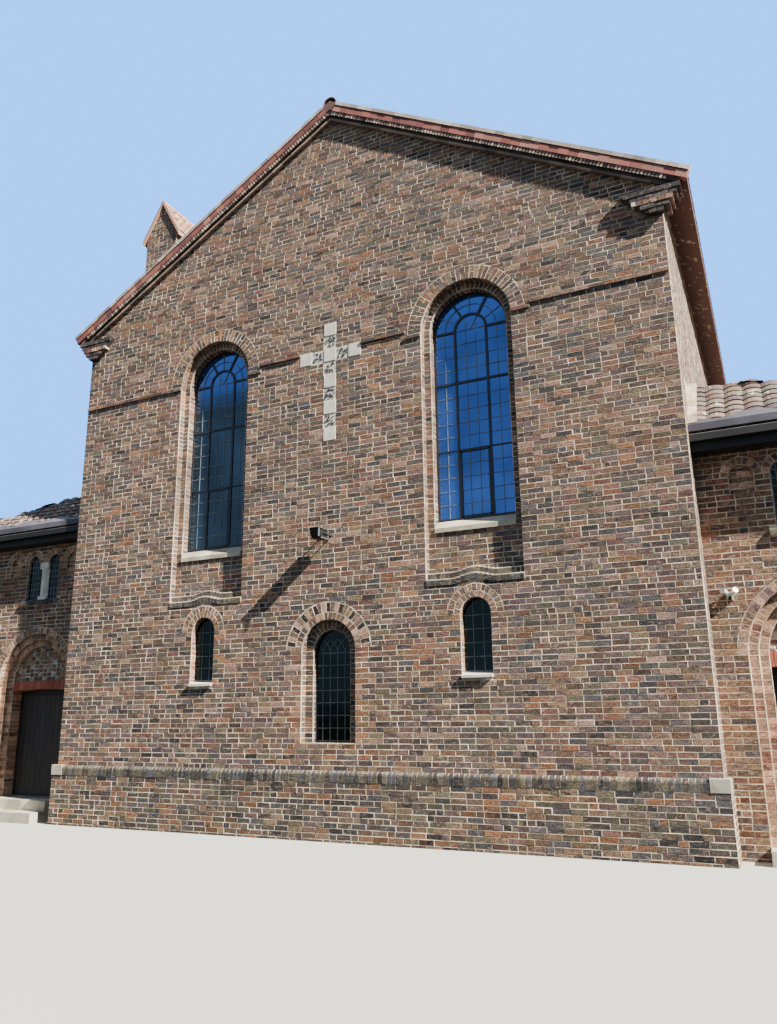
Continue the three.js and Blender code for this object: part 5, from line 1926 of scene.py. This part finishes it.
def nave_tiles(side, label):
    along_length = NAVE_LENGTH + 2 * VERGE_REACH - 0.04
    y_start = -VERGE_REACH + 0.02
    if side > 0:
        origin, along = (EAVE_X, y_start, roof_top(EAVE_X)), (0, 1, 0)
    else:
        origin, along = (-EAVE_X, y_start + along_length, roof_top(EAVE_X)), (0, -1, 0)
    matrix = slope_matrix(origin, along, (-side, 0, PITCH))
    slope = TiledSlope(121 + side, matrix)

    def in_stack(x, y):
        point = matrix @ Vector((x, y, 0))
        x0, x1, y0, y1 = STACK_BOX
        return x0 - 0.09 < point.x < x1 + 0.06 and y0 - 0.1 < point.y < y1 + 0.1

    slope.rows(SLOPE_LENGTH - 0.12, lambda y: (0, along_length), in_stack if side < 0 else None)
    slope.finish(f"nave_{label}_roof_tiles")


# %% [markdown]
# ### The wings' roofs
#
# Each wing has a low main slope, and a steep skirt at its front and rear that dies into it. A
# slope's limits say where each row begins and ends, so the rows get shorter along the hips. A
# fillet of pale mortar closes the end of each skirt against the nave.

# %% Wing roof tiles
TILE_TOP = 5.25
TILE_REACH = 0.30
WING_FALL = 0.2
WING_EDGE = WING_OUT + TILE_REACH
FILLET_WIDE = 0.12
FILLET_HIGH = 0.07


def wing_tiles(side, label):
    low_length = (WING_EDGE - NAVE_HALF) * math.sqrt(1 + WING_FALL ** 2)
    run = WING_REAR - SETBACK + 2 * TILE_REACH
    front = SETBACK - TILE_REACH
    rear = WING_REAR + TILE_REACH
    flat = 1 / math.sqrt(1 + WING_FALL ** 2)
    if side > 0:
        origin, along = (WING_EDGE, front, TILE_TOP), (0, 1, 0)
    else:
        origin, along = (-WING_EDGE, rear, TILE_TOP), (0, -1, 0)
    low = TiledSlope(131 + side, slope_matrix(origin, along, (-side, 0, WING_FALL)), arched=True)
    low.rows(low_length - 0.03, lambda y: (y * flat * WING_FALL, run - y * flat * WING_FALL))
    low.finish(f"{label}_wing_low_roof_tiles", mossy_tile)
    skirt_length = (WING_EDGE - NAVE_HALF) * WING_FALL * math.sqrt(2)
    for end, label_end in ((-1, "front"), (1, "rear")):
        y = front if end < 0 else rear
        facing = -end * side
        start = NAVE_HALF if facing > 0 else WING_EDGE
        matrix = slope_matrix((side * start, y, TILE_TOP), (side * facing, 0, 0), (0, -end, 1))
        skirt = TiledSlope(134 + side + 3 * end, matrix, arched=True)

        def limits(v, facing=facing):
            cut_back = v / math.sqrt(2) / WING_FALL
            reach = WING_EDGE - NAVE_HALF
            return (0, reach - cut_back) if facing > 0 else (cut_back, reach)

        skirt.rows(skirt_length, limits)
        skirt.finish(f"{label}_wing_{label_end}_skirt_tiles", mossy_tile)
        fillet = bmesh.new()
        near = 0.002 if facing > 0 else WING_EDGE - NAVE_HALF - FILLET_WIDE + 0.002
        high = (near + FILLET_WIDE - 0.004, skirt_length - 0.05, FILLET_HIGH)
        add_block(fillet, (near, 0.02, 0.0), high)
        bmesh.ops.transform(fillet, matrix=matrix, verts=fillet.verts)
        finish_piece(f"{label}_wing_{label_end}_mortar_fillet", fillet, [buff_mortar], "brickwork")


for label, side in SIDES:
    nave_tiles(side, label)
    wing_tiles(side, label)

# %% [markdown]
# ### Ridge tiles
#
# A ridge tile is half a pipe. A spin of an arc would do, but `create_cone` with two radii makes
# the taper as well. The lower half is then cut off, and `solidify` gives the clay its thickness.

# %% Ridge tiles
RIDGE_TILES = 36
RIDGE_AXIS = 12.105
RIDGE_FOOT = 12.06


def ridge_tiles():
    """Half-round tiles, each a little wider at the end that laps the next one."""
    bm = bmesh.new()
    rng = random.Random(137)
    y0, y1 = -VERGE_REACH + 0.004, NAVE_LENGTH + VERGE_REACH - 0.004
    pitch = (y1 - y0) / RIDGE_TILES
    for i in range(RIDGE_TILES):
        middle = Matrix.Translation((0, y0 + (i + 0.5) * pitch, RIDGE_AXIS)) @ UPRIGHT
        made = bmesh.ops.create_cone(
            bm, cap_ends=False, segments=20, radius1=0.118, radius2=0.130, depth=pitch - 0.003, matrix=middle,
        )["verts"]
        paint(bm, made, rng)
    everything = [*bm.verts, *bm.edges, *bm.faces]
    bmesh.ops.bisect_plane(
        bm, geom=everything, dist=1e-5, plane_co=(0, 0, RIDGE_FOOT), plane_no=(0, 0, -1), clear_outer=True,
    )
    bmesh.ops.recalc_face_normals(bm, faces=bm.faces)
    bmesh.ops.solidify(bm, geom=list(bm.faces), thickness=0.014)
    piece = finish_piece("ridge_tiles", bm, [roof_tile], "roof_tile")
    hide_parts("roof_ridge")


ridge_tiles()

# %% [markdown]
# ## Wing eaves
#
# Below the tiles run a black board, a gutter with a pale metal rim, and over its edge a strip of
# lead dressed up the tiles in slow waves. One function makes them along any edge: it draws in a
# frame whose origin is the tiles' lower edge, with y inward.

# %% Wing eaves
APRON_WAVE = 0.8
APRON_LOW = 0.07
APRON_HUMP = 0.12
APRON_LIFT = 0.055
APRON_DROP = 0.055


def eaves_board(boards, rims, place, x0, x1):
    """An upright board behind the gutter, a flat one under it, and the bright rim of the gutter."""
    add_block(boards, (x0, 0.052, -0.30), (x1, 0.0605, -0.06), place=place)
    add_block(boards, (x0, 0.054, -0.306), (x1, 0.30, -0.2985), place=place)
    add_block(rims, (x0, -0.0495, -0.104), (x1, -0.041, -0.093), place=place)


def lead_apron(bm, place, x0, x1, rise):
    """A strip of lead on the lowest tiles. rise is how steeply the tiles climb."""
    count = round((x1 - x0) / 0.1)
    flat = 1 / math.sqrt(1 + rise ** 2)
    made = bmesh.ops.create_grid(bm, x_segments=count, y_segments=3, size=0.5)["verts"]
    for vert in made:
        x = x0 + (vert.co.x + 0.5) * (x1 - x0)
        up = (vert.co.y + 0.5) * (APRON_LOW + APRON_HUMP * math.sin(math.pi * x / APRON_WAVE) ** 2)
        vert.co = Vector((x, (up - APRON_LIFT * rise) * flat - 0.004, (up * rise + APRON_LIFT) * flat))
    bmesh.ops.transform(bm, matrix=place, verts=made)
    bmesh.ops.solidify(bm, geom=list(faces_of(made)), thickness=0.003)
    edge = -APRON_LIFT * rise * flat - 0.004
    add_block(bm, (x0, edge - 0.003, -APRON_DROP), (x1, edge, APRON_LIFT * flat), place=place)


def wing_eaves(side, label):
    boards, rims, lead = bmesh.new(), bmesh.new(), bmesh.new()
    front = SETBACK - TILE_REACH
    rear = WING_REAR + TILE_REACH
    across = span(side, NAVE_HALF, WING_EDGE)
    along = span(side, front, rear)
    edges = [
        (Matrix.Translation((0, front, TILE_TOP)), *across, 1.0),
        (turned_about_z(side * 90, side * WING_EDGE, 0, TILE_TOP), *along, WING_FALL),
        (turned_about_z(180, 0, rear, TILE_TOP), *span(-side, NAVE_HALF, WING_EDGE), 1.0),
    ]
    for place, x0, x1, rise in edges:
        eaves_board(boards, rims, place, x0, x1)
        lead_apron(lead, place, x0, x1, rise)
    finish_piece(f"{label}_wing_eaves_boards", boards, [dark_metal], "dark_timber")
    finish_piece(f"{label}_wing_gutter_rim", rims, [pale_rim_metal], "dark_metal")
    finish_piece(f"{label}_wing_lead_apron", lead, [lead_sheet], "dark_metal")


# A pale strip along the front edge of the gutter.
pale_rim_metal = weathered("pale_rim_metal", (128, 132, 130), (96, 100, 100), 0.5, patch=6, bump=0.1)
for label, side in SIDES:
    wing_eaves(side, label)

# %% [markdown]
# ## The stack
#
# A brick stack with a steep tiled saddle rises through the left slope, close to the front. Its
# four faces are laid like walls. The front and rear ones end in small gables, cut like the big one.

# %% Stack bricks and cap tiles
STACK_SHOULDER = 11.70
STACK_PEAK = 12.42
STACK_HALF = 0.40
STACK_X = -4.85
STACK_SLOPE = (STACK_PEAK - STACK_SHOULDER) / STACK_HALF
STACK_FEET = {"front": 8.965, "left": 8.665, "right": 9.115}
CAP_THICK = 0.11


def stack_bricks():
    x0, x1, y0, y1 = STACK_BOX
    angle = math.atan(STACK_SLOPE)
    for label, degrees, y in (("front", 0, y0), ("rear", 180, y1)):
        wall = Wall(141, turned_about_z(degrees, STACK_X, y))
        lay_face(wall, -STACK_HALF, STACK_HALF, STACK_FEET["front"], STACK_PEAK)
        for side in (-1, 1):
            wall.trim_line((0, 0, STACK_PEAK - 0.01), (side * math.sin(angle), 0, math.cos(angle)))
        wall.finish(f"stack_{label}_bricks", [stock_brick, buff_mortar])
    for label, side in SIDES:
        wall = Wall(142 + side, turned_about_z(side * 90, x0 if side < 0 else x1))
        foot, top = STACK_SHOULDER - 0.3, STACK_SHOULDER - 0.06
        slot = Opening(side * (y0 + y1) / 2, (y1 - y0) / 2 - 0.2, foot, top, round_head=False)
        lay_face(wall, *span(side, y0, y1), STACK_FEET[label], STACK_SHOULDER, [slot])
        wall.finish(f"stack_{label}_bricks", [stock_brick, buff_mortar])


def stack_cap():
    reach = STACK_HALF + 0.08
    length = reach * math.sqrt(1 + STACK_SLOPE ** 2)
    y0, y1 = STACK_BOX[2] - 0.04, STACK_BOX[3] + 0.04
    for label, side in SIDES:
        foot = STACK_PEAK - STACK_SLOPE * reach + CAP_THICK
        origin = (STACK_X + side * reach, y0 if side > 0 else y1, foot)
        tiles = TiledSlope(145 + side, slope_matrix(origin, (0, side, 0), (-side, 0, STACK_SLOPE)))
        tiles.rows(length, lambda y: (0, y1 - y0))
        tiles.finish(f"stack_cap_{label}_tiles", cap_tile)


stack_bricks()
stack_cap()

# %% [markdown]
# ## Lamps
#
# A floodlight hangs on a bent strap left of the middle window's crown, and a small sensor lamp
# sits by the right door. Both are a few bevelled blocks and cones, each with its own finish.

# %% Floodlight
RIM_STRIPS = (
    (-0.378, -0.362, 4.282, 4.428), (-0.11, -0.094, 4.272, 4.428), (-0.378, -0.094, 4.414, 4.430),
    (-0.30, -0.094, 4.270, 4.286),
)


def floodlight():
    """A tapered black box with cooling fins on a strap, and a bright rim round its right side."""
    black, bright = bmesh.new(), bmesh.new()
    body = add_block(black, (-0.128, -0.372, 4.276), (0.034, -0.10, 4.424))
    for vert in body:
        if vert.co.y < -0.3 and vert.co.z < 4.3:
            vert.co.y += 0.08
    for fin in range(5):
        y = -0.14 - fin * 0.045
        add_block(black, (-0.120, y, 4.42), (0.026, y + 0.006, 4.430))
    for x in (-0.1385, 0.0485):
        add_block(black, (x, -0.25, 4.342), (x + 0.004, -0.002, 4.366))
    add_block(black, (-0.1385, -0.007, 4.342), (0.0525, -0.001, 4.366))
    for y0, y1, z0, z1 in RIM_STRIPS:
        add_block(bright, (0.030, y0, z0), (0.0485, y1, z1))
    soften(black, 0.002)
    soften(bright, 0.002)
    piece = finish_piece("floodlight_body", black, [dark_metal], "dark_metal")
    rim = finish_piece("floodlight_rim", bright, [bright_metal], "dark_metal")
    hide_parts("floodlight")
    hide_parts("floodlight")


def sensor_lamp():
    """A white base with a dark sensor, and two heads turned out and down."""
    white, dark = bmesh.new(), bmesh.new()
    x, y, z = SENSOR_PLACE
    add_block(white, (x - 0.04, y - 0.035, z - 0.05), (x + 0.04, y, z + 0.05))
    for side in (-1, 1):
        turn = Matrix.Rotation(math.radians(side * 35), 4, "Z") @ Matrix.Rotation(math.radians(70), 4, "X")
        head = Matrix.Translation((x + side * 0.055, y - 0.07, z + 0.05)) @ turn
        bmesh.ops.create_cone(
            white, cap_ends=True, segments=14, radius1=0.026, radius2=0.038, depth=0.075, matrix=head,
        )
    eye = Matrix.Translation((x, y - 0.045, z - 0.03))
    bmesh.ops.create_uvsphere(dark, u_segments=12, v_segments=8, radius=0.026, matrix=eye)
    finish_piece("sensor_lamp_base", white, [white_plastic], "dark_metal")
    finish_piece("sensor_lamp_eye", dark, [dark_metal], "dark_metal")


SENSOR_PLACE = (5.51, SETBACK, 3.09)
floodlight()
sensor_lamp()

# %% [markdown]
# ## Floor, sky and light
#
# The floor is plain and pale. The main light comes from high on the right and only a little in
# front, so it grazes the wall and each joint throws a small shadow. A pale sky fills the rest.

# %% Floor and light
def make_floor():
    bm = bmesh.new()
    bmesh.ops.create_grid(bm, x_segments=1, y_segments=1, size=150)
    mesh = bpy.data.meshes.new("studio_floor")
    bm.to_mesh(mesh)
    bm.free()
    floor = bpy.data.objects.new("studio_floor", mesh)
    bpy.context.scene.collection.objects.link(floor)
    recipe = Recipe("studio_floor", roughness=0.9)
    mesh.materials.append(recipe.done(srgb(186, 186, 178)))
    floor.visible_diffuse = False
    floor.visible_glossy = False


def make_sun(name, travel, energy, degrees, color):
    data = bpy.data.lights.new(name, "SUN")
    data.energy = energy
    data.angle = math.radians(degrees)
    data.color = color
    sun = bpy.data.objects.new(name, data)
    bpy.context.scene.collection.objects.link(sun)
    sun.rotation_mode = "QUATERNION"
    sun.rotation_quaternion = Vector(travel).to_track_quat("-Z", "Y")
    print(name, "energy", energy)


# %% [markdown]
# ### Sky
#
# The sky lights the shaded faces and is mirrored in the glass. A sky texture could do it, but a
# ramp on the height of the view is enough. Where the camera looks past the church it sees one
# plain blue instead, chosen by the Light Path node.

# %% Sky
SKY_HIGH = (0.30, 0.42, 0.60, 1.0)
SKY_LOW = (0.50, 0.62, 0.74, 1.0)
GROUND_GLOW = (0.17, 0.16, 0.14, 1.0)
BACKDROP = (0.27, 1.2, 3.5, 1.0)


def make_sky():
    """A blue sky above, a dim glow from below, and one plain blue for the camera."""
    world = bpy.data.worlds.new("sky")
    bpy.context.scene.world = world
    world.use_nodes = True
    nodes, links = world.node_tree.nodes, world.node_tree.links
    place = nodes.new("ShaderNodeTexCoord")
    split = nodes.new("ShaderNodeSeparateXYZ")
    links.new(place.outputs["Generated"], split.inputs["Vector"])
    ramp = nodes.new("ShaderNodeValToRGB")
    set_stops(ramp.color_ramp, [(0.0, GROUND_GLOW), (0.02, SKY_LOW), (0.5, SKY_HIGH)])
    links.new(split.outputs["Z"], ramp.inputs["Fac"])
    seen = nodes.new("ShaderNodeLightPath")
    choose = nodes.new("ShaderNodeMix")
    choose.data_type = "RGBA"
    links.new(seen.outputs["Is Camera Ray"], choose.inputs[0])
    links.new(ramp.outputs["Color"], choose.inputs[6])
    choose.inputs[7].default_value = BACKDROP
    links.new(choose.outputs[2], nodes["Background"].inputs["Color"])


make_floor()
make_sun("sun", travel=(-4.1, 1.0, -3.5), energy=21.0, degrees=0.8, color=(1.0, 0.93, 0.82))
make_sun("rear_fill", travel=(0.35, -0.65, -0.67), energy=3.5, degrees=40.0, color=(0.95, 0.97, 1.0))
make_sky()

# %% [markdown]
# ## Finishes for the carcass
#
# Behind the bricks and tiles the carcass still shows in every joint, so each of its nodes gets a
# finish as well. The first word of the list that is part of a node's name picks it, which is why
# the sills come before the windows.

# %% Finishes for the carcass
NODE_FINISH = {
    "steps": pale_stone,
    "lintel": red_tile,
    "frame": frame_timber,
    "column": pale_stone,
    "gutter": dark_metal,
    "glass": dark_glass,
    "small_window_sill": white_stone,
    "sill": pale_stone,
    "ledge": buff_mortar,
    "cross": flint_lime,
    "cap": cap_tile,
    "stack": buff_mortar,
    # The verge's dark mortar shows in the gaps between its bands: painted shade.
    "verge": painted_shade_mortar,
    "ridge": roof_tile,
    "roof": roof_tile,
    "floor": floor_finish,
    "floodlight": dark_metal,
    "tall_window": dark_steel,
    "small_window": dark_glass,
    "centre_window": dark_glass,
    "pier": buff_mortar,
    "wall": buff_mortar,
    "door": door_boards,
}


def dress_nodes():
    for name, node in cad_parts.items():
        finish = next(finish for word, finish in NODE_FINISH.items() if word in name)
        node.data.materials.clear()
        node.data.materials.append(finish)
    print("dressed", len(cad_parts), "nodes of the carcass")


dress_nodes()
